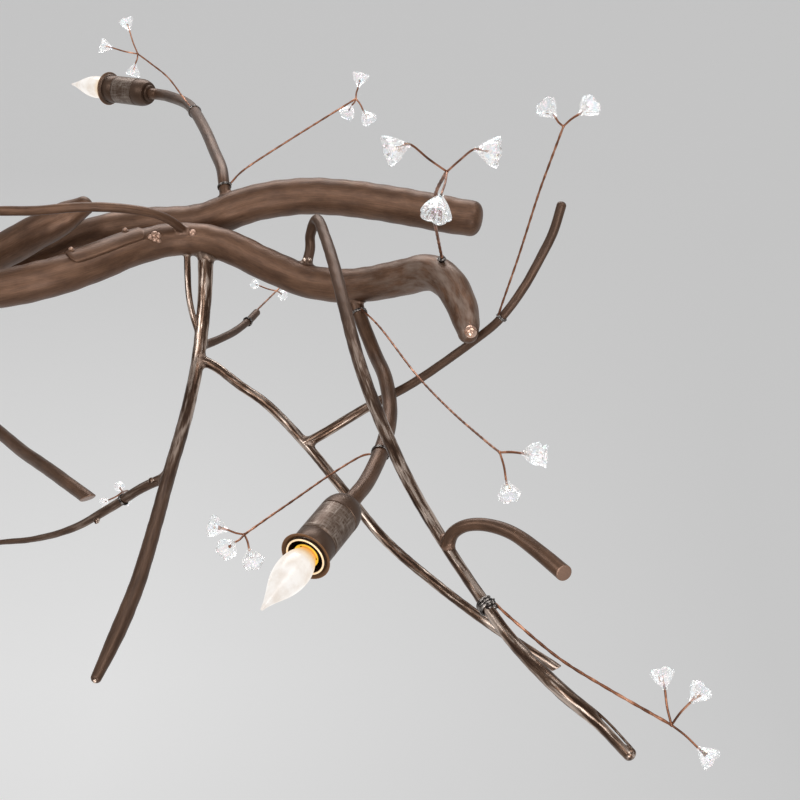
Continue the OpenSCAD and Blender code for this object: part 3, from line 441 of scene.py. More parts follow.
class Shape:
    """Points in millimetres, their grain and shares, and faces, gathered into one mesh."""

    def __init__(self):
        self.verts, self.faces, self.grain, self.shares = [], [], [], {}
        self.count = 0

    def grid(self, points, grain=None, caps=(False, False), **shares):
        """Rings of points skinned into quads; caps fill the first and the last ring."""
        points = np.asarray(points, float)
        n, m = points.shape[:2]
        ring, j = np.divmod(np.arange((n - 1) * m), m)
        low, next_low = self.count + ring * m + j, self.count + ring * m + (j + 1) % m
        self.faces += np.stack([low, next_low, next_low + m, low + m], 1).tolist()
        first, last = self.count, self.count + (n - 1) * m
        if caps[0]:
            self.faces.append(list(range(first, first + m))[::-1])
        if caps[1]:
            self.faces.append(list(range(last, last + m)))
        self.verts.append(points.reshape(-1, 3))
        self.grain.append(points.reshape(-1, 3) * MM if grain is None else grain.reshape(-1, 3))
        for key in {**self.shares, **shares}:
            value = np.broadcast_to(shares.get(key, 0.0), (n, m)).ravel()
            self.shares.setdefault(key, [np.zeros(self.count)]).append(value)
        self.count += n * m

    def mesh(self, name):
        mesh = bpy.data.meshes.new(name)
        verts = np.concatenate(self.verts) * MM
        mesh.from_pydata(verts.tolist(), [], self.faces)
        grain = mesh.attributes.new("grain", "FLOAT_VECTOR", "POINT")
        grain.data.foreach_set("vector", np.concatenate(self.grain).astype(np.float32).ravel())
        for key, parts in self.shares.items():
            layer = mesh.attributes.new(key, "FLOAT", "POINT")
            layer.data.foreach_set("value", np.concatenate(parts).astype(np.float32))
        mesh.polygons.foreach_set("use_smooth", [True] * len(mesh.polygons))
        mesh.validate()
        return mesh


def linked(name, data):
    piece = bpy.data.objects.new(name, data)
    bpy.context.scene.collection.objects.link(piece)
    return piece


def finish_piece(name, mesh, material, body, nodes, matrix, sharp):
    """One visible piece: what it rides on, and the solids that it replaces."""
    piece = linked(name, mesh)
    if not mesh.materials:
        mesh.materials.append(material)
        mesh.set_sharp_from_angle(angle=math.radians(sharp))
    piece.matrix_world = matrix
    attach(piece, body)
    if nodes:
        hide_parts(*nodes)


AT_HUB = Matrix.Translation((0, 0, -HUB_DROP * MM))
HALF_TURN = Matrix.Rotation(math.pi, 4, "Z")


def both_halves(name, shape, material, node=None, sharp=35):
    """One piece on the right half, and the same mesh turned half round for the left half."""
    mesh = shape.mesh(name)
    for side, matrix in (("right", AT_HUB), ("left", HALF_TURN @ AT_HUB)):
        nodes = [node if node in frame["nodes"] else f"{node}_{side}"] if node else []
        finish_piece(f"{name}_{side}", mesh, material, "fixture", nodes, matrix, sharp)


# ---- Swept tubes


def stations(route, t0, t1, spacing):
    """Points, radius shares, and length along the route, about `spacing` mm apart."""
    dense = np.array([at(route, t) for t in np.linspace(t0, t1, 40 * max(2, int(t1 - t0) + 1))])
    length = np.concatenate([[0], np.cumsum(np.linalg.norm(np.diff(dense[:, :3], axis=0), axis=1))])
    count = max(4, int(length[-1] / spacing))
    s = np.linspace(0, length[-1], count)
    return np.stack([np.interp(s, length, dense[:, c]) for c in range(4)], 1), s


def frames(points):
    """Tangents and two normals that turn as little as possible along the points."""
    t = np.gradient(points, axis=0)
    t /= np.linalg.norm(t, axis=1)[:, None]
    n = np.zeros_like(t)
    n[0] = square_to(RING_START, t[0])
    for i in range(1, len(t)):
        n[i] = square_to(n[i - 1], t[i])
    return t, n, np.cross(t, n)


def spokes(n, b, theta):
    return n[:, None, :] * np.cos(theta)[..., None] + b[:, None, :] * np.sin(theta)[..., None]


def waves(theta, s, seed, lengths=(45, 23), turns=(1, 2, 3)):
    """A smooth pattern between about -1 and 1 over angle and length, the same every run."""
    rng = np.random.default_rng(seed)
    total = np.zeros(np.broadcast(theta, s).shape)
    for k in turns:
        for wave in lengths:
            phase, drift = rng.uniform(0, 2 * math.pi, 2)
            total += np.sin(k * theta + 2 * math.pi * s / wave + phase) * math.cos(drift)
    return total / math.sqrt(len(turns) * len(lengths))


def dome_rows(kind, radius):
    """[distance past the last ring, radius factor] rows that close a tube's end."""
    if kind == "cut":
        edge = cut_edge(radius)
        return [[edge * math.sin(a), 1 - edge * (1 - math.cos(a)) / radius]
                for a in np.radians([30, 60, 90])]
    bulge, power = {"round": (0.8, 1), "soft": (0.68, 0.82), "full": (0.98, 1)}[kind]
    return [[radius * bulge * math.sin(a) ** power, math.cos(a) ** power]
            for a in np.radians(np.arange(8, 88, 8))]


def cut_edge(radius):
    return min(0.9, radius * 0.25)


CUT_WORN = 0.35


def branch(shape, route, d, sides=32, spacing=3.0, ends=("open", "cut"), lumps=0.0, seed=1,
           hammer=0.0, slant=None, split=None, dull=(2.0, 3.0), rubbed=(2.0, 3.0)):
    """A swept branch with its own relief; the start is inside its carrier when it is open.

    `slant` is the direction that a slanted end cut faces. `split` is the length, the sliver's
    diameter, the gap and the side of a slot that splits a sliver off the end. `dull` and
    `rubbed` are the shares of the length between which the satin finish and the paler
    patches of painted sheen come in.
    """
    rows, s = stations(route, 0, len(route) - 1, spacing)
    tangent, n, b = frames(rows[:, :3])
    radius = rows[:, 3] * d / 2
    theta = circle(sides)[None, :]
    relief = lumps * waves(theta, s[:, None], seed)
    if hammer:
        relief = relief + hammer * (waves(theta, s[:, None], seed + 5, (19, 11), (3, 5, 8)) - 0.8)
    r = radius[:, None] + relief - abs(lumps)
    if split:
        place, sliver_d, gap, side = split
        fade = np.clip(np.minimum((s - (s[-1] - place)) / 9, (s[-1] - 2.5 - s) / 4), 0, 1)[:, None]
        angle = math.atan2(b[-1] @ side, n[-1] @ side)
        face = (radius[:, None] - sliver_d - gap) / np.maximum(np.cos(theta - angle), 0.05)
        r = np.minimum(r, r + fade * (face - r))
        keep = s > s[-1] - place - 6
        offset = (radius - sliver_d / 2)[:, None] * (n * math.cos(angle) + b * math.sin(angle))
        rod = [[*p, 1] for p in (rows[:, :3] + offset)[keep][:-1]]
        branch(shape, rod, sliver_d, 14, 1.5, ("open", "round"))
    spoke = spokes(n, b, theta)
    points = rows[:, None, :3] + spoke * r[..., None]
    if slant is not None:
        fade = np.clip((s - (s[-1] - 2 * d)) / (2 * d), 0, 1)[:, None]
        shift = -fade * r * (spoke @ slant) / (tangent[-1] @ slant)
        points = points + tangent[:, None, :] * shift[..., None]
    grain = np.stack([r * np.cos(theta) * MM, r * np.sin(theta) * MM,
                      np.broadcast_to((s * MM)[:, None], r.shape)], -1)
    rings = [points, grain, np.zeros(r.shape)]
    rings += [np.clip((s / s[-1] - a) / (b - a), 0, 1)[:, None] for a, b in (dull, rubbed)]
    for end, kind in ((0, ends[0]), (-1, ends[1])):
        if kind == "open":
            continue
        out = tangent[end] * (1 if end else -1)
        if kind == "cut":
            rings[0][end] -= out * cut_edge(radius[end])
            out = out if slant is None else slant
        last = [ring[end] for ring in rings]
        centre = last[0].mean(0)
        rim = dome_rows(kind, radius[end])
        more = [[centre + (last[0] - centre) * f + out * dist for dist, f in rim],
                [last[1] * [f, f, 1] for _, f in rim],
                np.full((len(rim), sides), CUT_WORN if kind == "cut" else 0.0),
                [last[3]] * len(rim), [last[4]] * len(rim)]
        rings = [np.concatenate([ring, new] if end else [new[::-1], ring])
                 for ring, new in zip(rings, more)]
    points, grain, worn, satin, pale = rings
    caps = ends[0] != "open", ends[1] != "open"
    shape.grid(points, grain, caps, worn=worn, dull=satin, rubbed=pale)


def weld(shape, route, d, carrier, carrier_d, size, at_end=False):
    """A fillet all round the seam where a branch meets its carrier, lightly rippled."""
    seed, sides, steps, reach, sink = 3, 40, 8, 70, 0.08
    rows, s = stations(route[::-1] if at_end else route, 0, min(3, len(route) - 1), 0.5)
    _, n, b = frames(rows[:, :3])
    theta = circle(sides)
    spoke = spokes(n, b, theta)
    wall = rows[:, None, :3] + spoke * (rows[:, 3] * d / 2)[:, None, None]
    near = np.array([at(carrier, t) for t in np.linspace(0, len(carrier) - 1, 60 * len(carrier))])
    near = near[np.linalg.norm(near[:, :3] - rows[0, :3], axis=1) < reach]
    line, radii = near[:, :3], near[:, 3] * carrier_d / 2
    away = np.linalg.norm(wall[:, :, None] - line, axis=-1)
    nearest = away.argmin(-1)
    first_out = np.argmax(away.min(-1) > radii[nearest], axis=0)
    rise = int(round(size / (s[1] - s[0])))
    strips = []
    for j, first in enumerate(first_out):
        seam, out = wall[first, j], spoke[first, j]
        ripple = 1 + 0.16 * math.sin(5 * theta[j] + seed) + 0.1 * math.sin(11 * theta[j] + 2 * seed)
        top = wall[min(first + max(2, int(rise * ripple)), len(wall) - 1), j] - out * 0.05
        normal = unit(seam - line[nearest[first, j]])
        side = out - (out @ normal) * normal
        if np.linalg.norm(side) < 0.15:
            side = side + 0.15 * unit(np.cross(normal, n[first]))
        low = seam + unit(side) * size * ripple
        i = np.linalg.norm(line - low, axis=1).argmin()
        low = line[i] + unit(low - line[i]) * (radii[i] - sink)
        u = np.linspace(0, 1, steps)[:, None]
        strips.append((1 - u) ** 2 * top + 2 * u * (1 - u) * seam + u ** 2 * low)
    worn = 0.15 * np.sin(np.linspace(0, math.pi, steps))[:, None]
    shape.grid(np.array(strips).transpose(1, 0, 2), worn=worn, dull=0.7)


def blob(shape, centre, radii, axis=(0, 0, 1), seed=0, worn=0.2, rough=0.12, rows=10, cols=18):
    """A small lump of weld metal or a bead."""
    u, v, w = basis(axis)
    lat = np.radians(np.linspace(-84, 84, rows))[:, None]
    lon = circle(cols)[None, :]
    r = 1 + rough * waves(lon, lat * 20, seed, (31, 17), (1, 2))
    wide = r * np.cos(lat)
    ball = np.stack([wide * np.cos(lon), wide * np.sin(lon), r * np.sin(lat)], -1)
    shape.grid(centre + ball * radii @ np.array([u, v, w]), caps=(True, True), worn=worn)


# ---- Trunks


def on_surface(route, d, t, toward):
    """Point on a branch's surface at place t, on the side that `toward` points to."""
    p, v = at(route, t), square_to(toward, along(route, t))
    return p[:3] + v * p[3] * d / 2, v


def limb(name, route, d, seat=None, end_seat=None, material=TWIG, slot="twig_bronze",
         extras=None, **style):
    """A branch welded to its carriers; a seat is the carrier, its diameter and the weld's size.

    `extras` adds small lumps to the same skin.
    """
    shape = Shape()
    branch(shape, route, d, **style)
    if seat:
        weld(shape, route, d, *seat)
    if end_seat:
        weld(shape, route, d, *end_seat, at_end=True)
    if extras:
        extras(shape)
    both_halves(f"{name}_skin", shape, material, name)


def weld_dots(shape):
    """Dots of weld metal on the lower trunk by the tie branch's end."""
    for i, (t, toward, size) in enumerate((
            (6.27, (0, -0.97, 0.22), 2.8), (6.38, (0, -0.93, 0.36), 3.3), (6.35, (0, -1, 0.04), 3.0),
            (6.43, (0, -1, -0.10), 2.6), (6.46, (0, -0.98, 0.2), 3.1))):
        p, v = on_surface(LOWER, LOWER_D, t, toward)
        # Each dot is made pale as a painted glint.
        blob(shape, p, (size, size, size * 0.75), v, 20 + i, 0.6)


def tie_bead(shape):
    p, v = on_surface(LOWER, LOWER_D, 7.32, (0, -0.96, 0.28))
    # The bead is made pale as a painted glint.
    blob(shape, p, (4.0, 4.0, 3.2), v, 31, 0.7, 0.1)


def tip_bead():
    """Brazed bead on the front of the lower trunk's tip."""
    bead = Shape()
    wide, high = TIP_BEAD_D * 0.62, TIP_BEAD_D * 0.48
    blob(bead, BEAD_AT, (wide, wide, high), BEAD_SIDE, 4, 0, 0.04, 20, 32)
    both_halves("tip_bead", bead, BEAD)


def trunks():
    bronze_trunk = dict(material=TRUNK, slot="trunk_bronze")
    limb("upper_trunk", UPPER, UPPER_D, sides=56, spacing=4.0, ends=("round", "soft"), lumps=0.3,
         seed=11, **bronze_trunk)
    # The paler patches near the bend are painted sheen.
    limb("lower_trunk", LOWER, LOWER_D, (OTHER_UPPER, UPPER_D, 5), sides=56, spacing=4.0,
         ends=("open", "full"), lumps=0.32, seed=12, rubbed=(0.74, 0.86), extras=weld_dots,
         **bronze_trunk)
    tip_bead()
    limb("tie_branch", TIE, TIE_D, (OTHER_UPPER, UPPER_D, 3), (LOWER, LOWER_D, 3.5),
         ends=("open", "open"), lumps=0.1, seed=13, extras=tie_bead, **bronze_trunk)


END_L, EDGE_L = 9, 2


def wireway_cover():
    """A strip bent round the trunk, with rounded ends and edges, over a dark seam."""
    rows, s = stations(LOWER, COVER_FROM, COVER_TO, 2.0)
    tangent, _, _ = frames(rows[:, :3])
    side = unit([0, -0.62, 0.78])
    across = np.linspace(-1, 1, 25)
    shape = Shape()
    outer, inner, grain = [], [], []
    for (x, y, z, k), t, length in zip(rows, tangent, s):
        v = square_to(side, t)
        w = np.cross(t, v)
        left = min(length, s[-1] - length)
        round_end = math.sqrt(1 - (1 - min(1.0, left / END_L)) ** 2)
        half = COVER_ANGLE / 2 * (0.5 + 0.5 * round_end)
        angle = np.radians(across * half)
        spoke = v * np.cos(angle)[:, None] + w * np.sin(angle)[:, None]
        edge = np.clip((1 - np.abs(across)) / 0.06, 0, 1) ** 0.5
        end = math.sqrt(min(1.0, left / EDGE_L))
        r = k * LOWER_D / 2
        outer.append([x, y, z] + spoke * (r + SEAT + COVER_T * (0.35 + 0.65 * edge * end))[:, None])
        inner.append([x, y, z] + spoke * (r + SEAT * 0.5))
        grain.append(np.stack([across * half * 0.3 * MM, 0 * across, 0 * across + length * MM], 1))
    ring = np.concatenate([np.array(outer), np.array(inner)[:, ::-1]], 1)
    grain = np.concatenate([np.array(grain), np.array(grain)[:, ::-1]], 1)
    shape.grid(ring, grain, caps=(True, True))
    both_halves("wireway_cover_strip", shape, TRUNK, "wireway_cover", 50)


def cover_screws():
    """Pan-head screws that hold the strip, one by each end."""
    shape = Shape()
    for t, toward in ((4.78, (0, -0.35, 0.94)), (5.88, (0, -0.25, 0.97))):
        p, v = on_surface(LOWER, LOWER_D, t, toward)
        # The domes are made pale as painted glints.
        blob(shape, p + v * 3.4, (2.6, 2.6, 2.0), v, 50, 0.6, 0.03, 12, 24)
        blob(shape, p + v * 1.8, (4.2, 4.2, 1.4), v, 51, 0.0, 0.03, 12, 24)
    both_halves("cover_screw_heads", shape, TRUNK, "cover_screws")


# ---- Twigs


def foot_beads(shape):
    """Two drops of weld metal side by side on the front of the arched twig's foot."""
    p = at(ARCHED, 0.62)
    for i, x in enumerate((-2.6, 2.4)):
        drop = p[:3] + [x, -p[3] * ARCHED_D / 2 - 0.6, 0.5 * i]
        # The drops are made pale as painted glints.
        blob(shape, drop, (2.5, 2.3, 2.5), (0, -1, 0), 40 + i, 0.9, 0.06)


def hanging_drop(shape):
    """A drop of weld metal on the front of the hanging twig's end, bright as a painted glint."""
    p = at(HANGING, len(HANGING) - 1)
    drop = p[:3] + [0, -p[3] * HANGING_D / 2 - 0.5, -1.5]
    blob(shape, drop, (1.7, 1.7, 1.2), (0, -1, 0), 47, 1.0, 0.05)


def low_nubs(shape):
    """Stubs of cut side shoots on the low twig."""
    for i, (t, toward) in enumerate(((2.42, (-0.2, -0.4, -0.9)), (0.55, (0, -0.8, 0.5)))):
        p, v = on_surface(LOW_TWIG, LOW_TWIG_D, t, toward)
        blob(shape, p, (3.6, 2.8, 4.6 - 2.4 * i), v, 44 + i, 0.0)


def twigs():
    rod = dict(sides=36, spacing=2.5)
    bronze_rod = dict(material=ROD, slot="trunk_bronze", **rod)
    limb("hanging_twig", HANGING, HANGING_D, (LOWER, LOWER_D, 4.5), ends=("open", "round"),
         lumps=0.12, hammer=0.05, seed=15, dull=(0.3, 0.62), extras=hanging_drop, **rod)
    limb("side_rod", SIDE_ROD, SIDE_ROD_D, (LOWER, LOWER_D, 2), (HANGING, HANGING_D, 2),
         sides=24, spacing=2.0, ends=("open", "open"), lumps=0.05, seed=14)
    limb("long_twig", LONG, LONG_D, (HANGING, HANGING_D, 4.0), hammer=0.1, lumps=0.08, seed=16,
         slant=unit([0.49, -0.15, -0.87]), **rod)
    limb("rising_twig", RISING, RISING_D, (LONG, LONG_D, 5.0), ends=("open", "round"),
         lumps=0.06, hammer=0.05, seed=17, dull=(0.1, 0.3), **rod)
    limb("arched_twig", ARCHED, ARCHED_D, (LOWER, LOWER_D, 3.4), ends=("open", "round"),
         hammer=0.09, lumps=0.1, seed=18, split=(42, 2.0, 0.8, unit([0.727, 0.05, 0.684])),
         dull=(0.52, 0.30), extras=foot_beads, **rod)
    limb("hook_twig", HOOK, HOOK_D, (ARCHED, ARCHED_D, 3.0), lumps=0.08, seed=19,
         slant=unit([0.42, -0.82, -0.38]), **bronze_rod)
    limb("low_rod", LOW_ROD, LOW_ROD_D, (OTHER_UPPER, UPPER_D, 3.0), lumps=0.08, seed=20,
         slant=unit([0.25, -0.25, -0.94]), **bronze_rod)
    limb("low_twig", LOW_TWIG, LOW_TWIG_D, (HANGING, HANGING_D, 4.5), ends=("open", "round"),
         lumps=0.15, seed=21, dull=(-1.2, 0.9), extras=low_nubs, **rod)
    limb("stub_twig", STUB, STUB_D, (HANGING, HANGING_D, 3.0), lumps=0.12, seed=22,
         dull=(-1.0, 0.0), **rod)
    for name, route, seat in (("front_lamp_arm", FRONT_ARM, (LOWER, LOWER_D, 3.0)),
                              ("rear_lamp_arm", REAR_ARM, (UPPER, UPPER_D, 3.0))):
        limb(name, route, ARM_D, seat, lumps=0.06, seed=23, **bronze_rod)


# ---- Lamps
# Heights are above the arm's end, along the lamp's axis.

NECK_R = ARM_D * 1.04 / 2 + 0.6
CUP_R, LIP_R, SOCKET_R, BASE_R = CUP_D / 2, RING_D / 2, SOCKET_D / 2, BASE_D / 2
CUP_INNER_R = CUP_R - CUP_WALL
SLEEVE_R = CUP_INNER_R - SLIP
RING_Z = CUP_L + SEAT
RIM_Z = RING_Z + RING_H
BULB_Z = RIM_Z - BULB_DEPTH
FLOOR_Z = SHOULDER_L + 2
STEP_Z = SHOULDER_L + 5
BAND_Z = CUP_L - 15


def revolve(profile, sides=72, closed=False, **shares):
    """A turned piece about +Z from [radius, height] points."""
    profile = np.asarray(profile, float)
    shares = {key: np.asarray(value, float)[:, None] for key, value in shares.items()}
    if closed:
        profile = np.concatenate([profile, profile[:1]])
        shares = {key: np.concatenate([value, value[:1]]) for key, value in shares.items()}
    theta = circle(sides)
    r, z = profile[:, :1], np.broadcast_to(profile[:, 1:], (len(profile), sides))
    cos, sin = np.cos(theta), np.sin(theta)
    grain = np.stack([0 * r + CUP_R * cos, 0 * r + CUP_R * sin, z], -1) * MM
    shape = Shape()
    shape.grid(np.stack([r * cos, r * sin, z], -1), grain, **shares)
    return shape


def lamp_matrix(i):
    neck, direction = (FRONT_NECK, FRONT_DIR) if i % 2 == 0 else (REAR_NECK, REAR_DIR)
    axis = Matrix.Rotation(math.atan2(direction[1], direction[0]), 4, "Z")
    tilt = Matrix.Rotation(math.acos(direction[2]), 4, "Y")
    start = Matrix.Translation([*((neck + direction * SEAT - [0, 0, HUB_DROP]) * MM)])
    turn = HALF_TURN if i >= 2 else Matrix.Identity(4)
    return turn @ start @ axis @ tilt


def cup_shape():
    """Bullet shell: collar by the arm, rounded shoulder, scuffed body, groove, smooth band."""
    collar = [[NECK_R + out, z]
              for out, z in ((0, 0), (2.4, 0.3), (2.8, 1.0), (2.8, 3.6), (2.3, 4.2))]
    shoulder = [[NECK_R + (CUP_R - NECK_R) * math.sin(a), SHOULDER_L * (1 - math.cos(a))]
                for a in np.radians(np.arange(40, 91, 5))]
    step = [[CUP_R, STEP_Z - 1.4], [CUP_R - 0.9, STEP_Z - 0.8], [CUP_R - 0.9, STEP_Z - 0.1]]
    body = [[CUP_R, z] for z in np.linspace(STEP_Z + 0.4, BAND_Z - 1.2, 12)]
    groove = [[CUP_R - 0.5, BAND_Z - 0.7], [CUP_R - 0.5, BAND_Z - 0.2], [CUP_R, BAND_Z + 0.3]]
    mouth = [[CUP_R, CUP_L - 1], [CUP_R - 0.3, CUP_L], [CUP_INNER_R, CUP_L], [CUP_INNER_R, FLOOR_Z],
             [0.2, FLOOR_Z]]
    profile = [[0.2, 0]] + collar + shoulder + step + body + groove + mouth
    rubbed = [1.0 if STEP_Z < z < BAND_Z - 1 and r > CUP_R - 0.6 else 0.0 for r, z in profile]
    return revolve(profile, rubbed=rubbed)


def lip_shape():
    """Flared bronze lip round the mouth, with the bulb's light painted on its inner side as a glow.
    """
    outer = CUP_R + 0.6
    flare = [[outer, RING_Z], [outer + 0.5, RING_Z + 0.9], [outer + 1.6, RING_Z + 1.9],
             [LIP_R - 0.5, RING_Z + 2.6], [LIP_R, RING_Z + 3.1], [LIP_R - 0.1, RING_Z + 3.7],
             [LIP_R - 0.9, RIM_Z], [LIP_R - 1.9, RIM_Z - 0.3], [LINER_R + 0.9, RING_Z + 1.5],
             [LINER_R + 0.2, RING_Z + 1]]
    # The `lit` share places the painted glow of the bulb's light.
    return revolve(flare, closed=True, lit=[0.0, 0.0, 0.0, 0.15, 0.5, 0.6, 0.3, 0.2, 0.1, 0.1])


def liner_shape():
    """Dark liner inside the mouth."""
    inner, foot_z = LINER_R - 1.5, CUP_L - SLEEVE_L
    return revolve([[inner, foot_z], [inner, RIM_Z], [LINER_R, RIM_Z], [LINER_R, RING_Z + 0.2],
                    [SLEEVE_R, RING_Z], [SLEEVE_R, foot_z]], closed=True)


def edge_shape(size=0.8):
    """The liner's rolled edge, a round bead of brass."""
    radius, height = LINER_R - 0.7, RIM_Z + 0.3
    return revolve([[radius - size * math.cos(a), height + size * math.sin(a)]
                    for a in np.radians(range(0, 360, 30))], closed=True)


def shell_shape():
    """The socket's brass shell, with the bulb's light painted on it as a glow."""
    outer, inner, top, low = SOCKET_R + 0.4, SOCKET_R - 0.9, RIM_Z - 0.6, BULB_Z + SEAT
    return revolve([[outer, top - 1], [outer, top - 0.4], [outer - 0.4, top], [inner + 0.3, top],
                    [inner, top - 0.6], [inner, low], [inner + 0.3, low], [inner + 0.3, top - 1]],
                   closed=True)


def socket_shape():
    """Candelabra socket: a moulded body with a bore for the bulb's base, near-black as painted
    shade.
    """
    top, bore, neck, foot_z = BULB_Z - SEAT, BASE_R + SLIP, SOCKET_R * 0.56, FLOOR_Z + SEAT
    shoulder_z, collar_z, end_z = top - SOCKET_L, RIM_Z - 1.8, top - BASE_L - 2
    return revolve([[0.2, foot_z], [neck, foot_z], [neck, shoulder_z], [SOCKET_R, shoulder_z + 2],
                    [SOCKET_R, collar_z], [SOCKET_R - 0.5, collar_z], [SOCKET_R - 0.5, top],
                    [bore, top], [bore, end_z], [0.2, end_z]], 48)


def bezier(points, u):
    a, b, c, d = np.asarray(points, float)
    return (1 - u) ** 3 * a + 3 * u * (1 - u) ** 2 * b + 3 * u * u * (1 - u) * c + u ** 3 * d


def bulb_shapes():
    """Flame bulb: glass with a drawn tip, and the threaded base under it."""
    r, neck, tip_r, wide = BULB_D / 2, BASE_R + 1.2, 1.3, BULB_L * 0.38
    belly = [neck, 0], [neck, wide * 0.35], [r, wide * 0.4], [r, wide]
    flame = [r, wide], [r, BULB_L * 0.62], [tip_r * 4, BULB_L * 0.76], [tip_r, BULB_L - tip_r]
    profile = [[0.3, 0]] + [bezier(belly, u) for u in np.linspace(0, 1, 17)]
    profile += [bezier(flame, u) for u in np.linspace(0.05, 1, 20)]
    profile += [[tip_r * math.cos(a), BULB_L - tip_r * (1 - math.sin(a))]
                for a in np.radians([30, 60, 82])]
    profile = np.array(profile + [[0.05, BULB_L - 0.01]])
    thread_d, pitch = 0.35, 2.2
    thread = [[BASE_R - thread_d + thread_d * math.sin(2 * math.pi * z / pitch), -z]
              for z in np.linspace(0.2, BASE_L - 4, 40)]
    contact = [[BASE_R - 1.5, 3 - BASE_L], [3.0, 1.5 - BASE_L], [2.4, -BASE_L], [0.2, -BASE_L]]
    base = revolve([[0.2, -0.1]] + thread + contact, 40)
    return revolve(profile, 64, rise=profile[:, 1] / BULB_L), base


def lamps():
    makers = dict(cup_shell=cup_shape, lip=lip_shape, liner=liner_shape, edge=edge_shape,
                  shell=shell_shape, socket=socket_shape)
    meshes = {name: make().mesh(name) for name, make in makers.items()}
    glass, base = (shape.mesh(name) for shape, name in zip(bulb_shapes(), ("glass", "base")))
    for i in range(4):
        n = i + 1
        place = lamp_matrix(i)
        inside = place @ Matrix.Translation((0, 0, BULB_Z * MM))
        for piece, material, slot, nodes, sharp in (
                ("cup_shell", CUP, "cup_bronze", [f"lamp_cup_{n}"], 50),
                ("lip", CUP, "ring_brass", [f"lamp_ring_{n}"], 50),
                ("liner", CUP, "ring_brass", [], 50),
                ("edge", LIP_GLOW, "ring_brass", [], 50),
                ("shell", SHELL_GLOW, "ring_brass", [], 50),
                ("socket", SOCKET_PAINTED_SHADE, "socket", ["lamp_sockets"], 40)):
            finish_piece(f"lamp_{piece}_{n}", meshes[piece], material, "fixture", nodes,
                         place, sharp)
        bulb = f"bulb_{n}"
        finish_piece(f"bulb_glass_{n}", glass, GLASS, bulb, [bulb], inside, 60)
        finish_piece(f"bulb_base_{n}", base, BRASS, bulb, [], inside, 50)


# ---- Sprays


def wire(shape, points, d, sides=10, spacing=2.0, twist=0.0):
    """A bent wire through the points; with a twist it is two strands wound together."""
    route = [[*p, 1.0] for p in points]
    rows, s = stations(route, 0, len(route) - 1, spacing)
    _, n, b = frames(rows[:, :3])
    starts, offset, radius = ((0, math.pi), d * 0.1, d * 0.4) if twist else ((0,), 0, d / 2)
    spoke = spokes(n, b, circle(sides)) * radius
    for start in starts:
        turn = (start + 2 * math.pi * s / (twist or 1))[:, None]
        centre = rows[:, :3] + offset * (n * np.cos(turn) + b * np.sin(turn))
        shape.grid(centre[:, None, :] + spoke, caps=(True, True))


def coil(shape, route, d, t, wire_d, turns):
    """Turns of wire wound tight round a branch."""
    p = at(route, t)
    u, v, q = basis(along(route, t))
    r = p[3] * d / 2 + wire_d / 2
    a = np.linspace(0, 2 * math.pi * turns, 24 * turns)
    rise = (a / (2 * math.pi) - turns / 2) * wire_d * 1.05
    line = p[:3] + r * (np.cos(a)[:, None] * u + np.sin(a)[:, None] * v) + rise[:, None] * q
    wire(shape, line[::2], wire_d, 10, 1.5)


def knot(shape, centre, size):
    """A lump of crossed wire turns where a spray is tied on."""
    turns = (-0.35, -0.2, (1, -0.3, 0.8)), (0.3, 0.35, (0.2, -0.4, 1)), (0.5, -0.3, (1, 0, -0.3))
    radii = size * 0.5, size * 0.5, size * 0.75
    for i, (x, z, way) in enumerate(turns):
        blob(shape, centre + np.array([x, -0.3, z]) * size, radii, way, 70 + i, 0.0, 0.15)


def spray_start(i, s):
    """Where a spray's wire leaves its branch, and the side that it leaves from."""
    p, q = at(s[0], s[1]), along(s[0], s[1])
    brazed = i == TRUNK_SPRAY
    side = square_to(TOP_SIDE if brazed else np.array(s[3][0]) - p[:3], q)
    return p[:3] + side * (p[3] * s[2] / 2 + SEAT + (FOOT_H if brazed else WRAP_D / 2)), side


def stalk_end(s, middle, way=None):
    """The fork, the way the bell faces and the bell's base."""
    fork = np.array(s[3][-1], float)
    out = unit(way if way else np.array(middle) - fork)
    return fork, out, np.array(middle) - out * s[5] * BLOSSOM_RISE / 2


def blossom(shape, base, axis, size, seed):
    """Thick clear bell flower: five round petals with notches between, on a bored foot."""
    rng = np.random.default_rng(seed)
    u, v, w = basis(axis)
    theta = circle(70)
    petal = np.abs(np.cos(2.5 * theta + rng.uniform(0, math.pi))) ** 0.7
    fold = np.sin(10 * theta + rng.uniform(0, math.pi))
    r, h, foot_r, wall = size / 2, size * BLOSSOM_RISE, 2.3, 2.6
    rows = [(foot_r - 0.6, 0.1), (foot_r, 0.9)]
    for f in np.linspace(0, 1, 10):
        bell = foot_r + (r * 0.97 - foot_r) * (1 - (1 - f) ** 1.5)
        notch = 1 - 0.16 * f * f * (1 - petal) + 0.025 * f * fold
        rows.append((bell * notch - 0.3, 2 + (h - 3.8) * f + 0.9 * f * f * (petal - 0.5)))
    rim_r, rim_z = rows[-1]
    rows.append((rim_r - 0.45, rim_z + 0.7))
    rows.append((rim_r - wall * 0.75, rim_z + 0.5))
    for f in np.linspace(0.88, 0.05, 8):
        bell = 1.2 + (r * 0.97 - wall - 1.2) * (1 - (1 - f) ** 1.4)
        notch = 1 - 0.2 * f * f * (1 - petal) - 0.04 * f * fold
        lift = 2 + wall + (h - 3.8 - wall * 0.8) * f + 0.8 * f * f * (petal - 0.5)
        rows.append((bell * notch, lift))
    rows += [(1.05, 0.2), (1.2, 0.05)]
    points = []
    for radius, lift in rows:
        x, y, z = radius * np.cos(theta), radius * np.sin(theta), lift + 0 * theta
        points.append(np.asarray(base) + x[:, None] * u + y[:, None] * v + z[:, None] * w)
    points.append(points[0])
    shape.grid(np.array(points))


